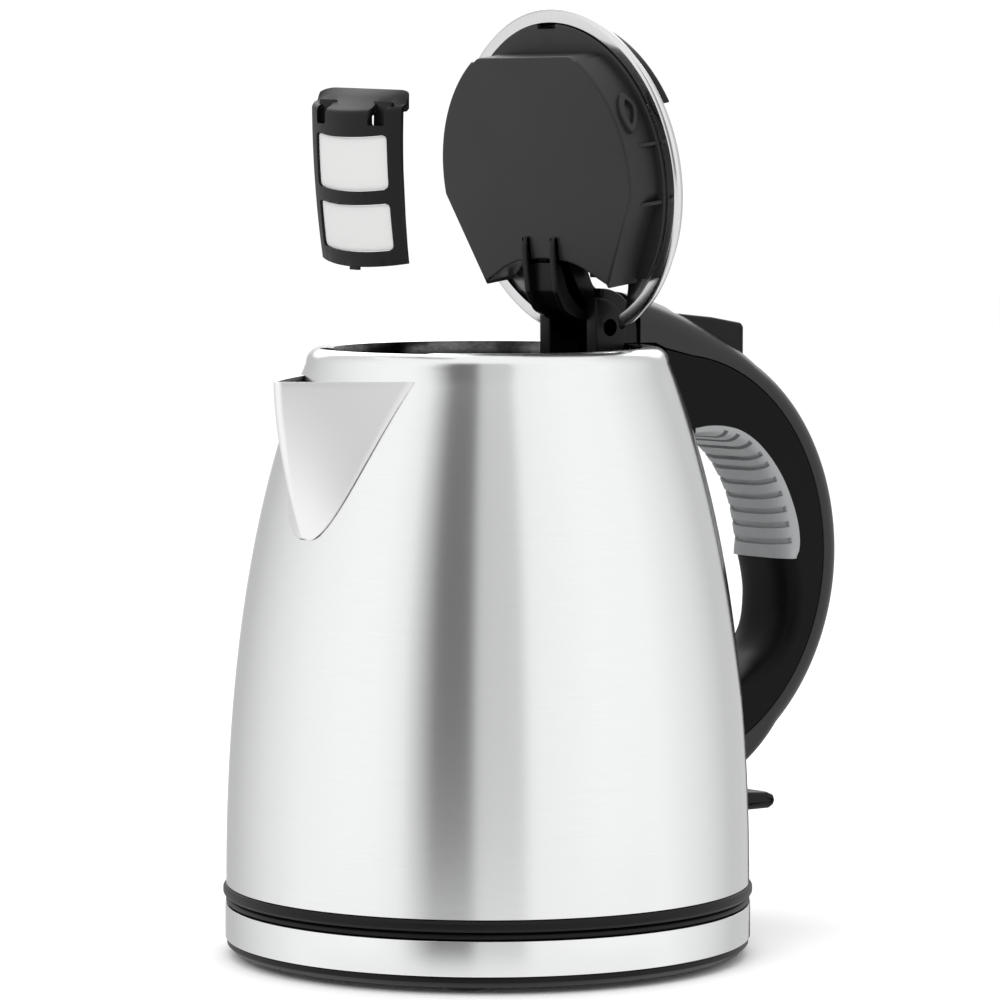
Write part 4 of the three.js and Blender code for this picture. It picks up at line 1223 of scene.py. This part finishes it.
def filter_sheet(name, h_low, h_high, inset, thick, half, round_r):
    """A curved panel of the filter as a closed grid, its corners rounded by round_r."""
    across, up = 32, 30
    verts, faces = [], []
    for layer in (inset, inset + thick):
        for i in range(up + 1):
            t = i / up
            h = h_low + (h_high - h_low) * t
            edge = min(t, 1 - t) * (h_high - h_low) * FILTER_TALL
            short = round_r - min(edge, round_r)
            trim = round_r - math.sqrt(max(0, round_r ** 2 - short ** 2))
            for j in range(across + 1):
                verts.append(filter_point((2 * j / across - 1) * (half - trim) / half, h, layer, half))
    width = across + 1
    size = width * (up + 1)
    for i in range(up):
        for j in range(across):
            a = i * width + j
            faces.append((a, a + 1, a + 1 + width, a + width))
            faces.append((size + a, size + a + width, size + a + 1 + width, size + a + 1))
    border = list(range(across)) + [across + i * width for i in range(up)]
    border += [up * width + across - j for j in range(across)] + [(up - i) * width for i in range(up)]
    for k, a in enumerate(border):
        b = border[(k + 1) % len(border)]
        faces.append((a, size + a, size + b, b))
    return shape(name, verts, faces)


def hooded_shell():
    """The filter's frame: slices side by side, each up the face, round over the hood and back."""
    heights = [0.88 * i / 16 for i in range(17)]
    rear_z = FILTER_LOW + FILTER_TALL
    verts, rows = [], []
    count = 40
    for j in range(count + 1):
        side = 2 * j / count - 1
        shy = 1 - math.sqrt(1 - (max(0, abs(side) - 0.7) / 0.31) ** 2)
        front = [Vector(filter_point(side, h, 0)) for h in heights]
        top = front[-1]
        end = Vector((HOOD_REAR - 1.9 * shy, top.y, rear_z - 1.8 * shy))
        bend = [top + Vector((0.25, 0, 0.8)), top + Vector((0.9, 0, 1.5)), top + Vector((2, 0, 2.1))]
        bend += [bend[-1].lerp(end, 0.5) + Vector((0, 0, 0.35)), end, end - Vector((0, 0, 1.4))]
        bend += [top + Vector((3, 0, 0.6)), top + Vector((2.2, 0, -0.2))]
        back = [Vector(filter_point(side, h, 1.8)) for h in heights[::-1]]
        rows.append(list(range(len(verts), len(verts) + len(front) + len(bend) + len(back))))
        verts += front + bend + back
    return shape("filter_shell", verts, [tuple(rows[0]), tuple(reversed(rows[-1]))] + skin(rows))


def make_filter():
    middle = Vector((0, FILTER_Y, FILTER_LOW + FILTER_TALL / 2)) * MM
    turn = Matrix.Rotation(math.radians(FILTER_ROLL), 4, "X")
    roll = Matrix.Translation(middle) @ turn @ Matrix.Translation(-middle)
    body = hooded_shell()
    for h_low, h_high in WINDOWS:
        cut(body, filter_sheet("opening", h_low, h_high, -3, 8, WINDOW_HALF, 1.5))
    pocket_low, pocket_rear = FILTER_LOW + 0.79 * FILTER_TALL, HOOD_REAR - 4.4
    for y in CLIPS:
        pocket = rect(-60, pocket_rear, pocket_low, 260)
        cut(body, prism("pocket", pocket, y - 2.9, y + 2.9, 0.8))
    bevel(body, 0.3, 3, 50)
    foot = FILTER_LOW + 0.8 * FILTER_TALL
    clip = (HOOD_REAR - 4.8, HOOD_REAR - 3.8)
    extras = [block("clip", *clip, y - 4, y + 4, foot - 1.5, foot + 6.4, 0.3) for y in CLIPS]
    nub = (FILTER_X + 0.2, FILTER_X + 1.4, FILTER_Y - 2, FILTER_Y + 2)
    extras.append(block("nub", *nub, FILTER_LOW - FILTER_DIP - 0.9, FILTER_LOW - FILTER_DIP + 2, 0.3))
    dress(moved(together(body, *extras), roll), "filter_frame")
    for name, (h_low, h_high) in zip(("filter_mesh_lower", "filter_mesh_upper"), WINDOWS):
        heights = (h_low + 0.003, h_high - 0.003)
        gauze = filter_sheet(name + "_gauze", *heights, 0.75, 0.4, WINDOW_HALF - 0.15, 1.4)
        dress(moved(gauze, roll), name)


make_base()
make_body()
make_spout()
make_handle()
make_spine()
make_hinge()
make_lid()
make_filter()

for node, obj in frame["nodes"].items():
    obj.data.materials.clear()
    obj.data.materials.append(LOOKS[NODE_SLOT[node]])

boxes = {"cad": CAD_BOX, "visual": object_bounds()}
{name: [[float(v) for v in corner] for corner in box] for name, box in boxes.items()}
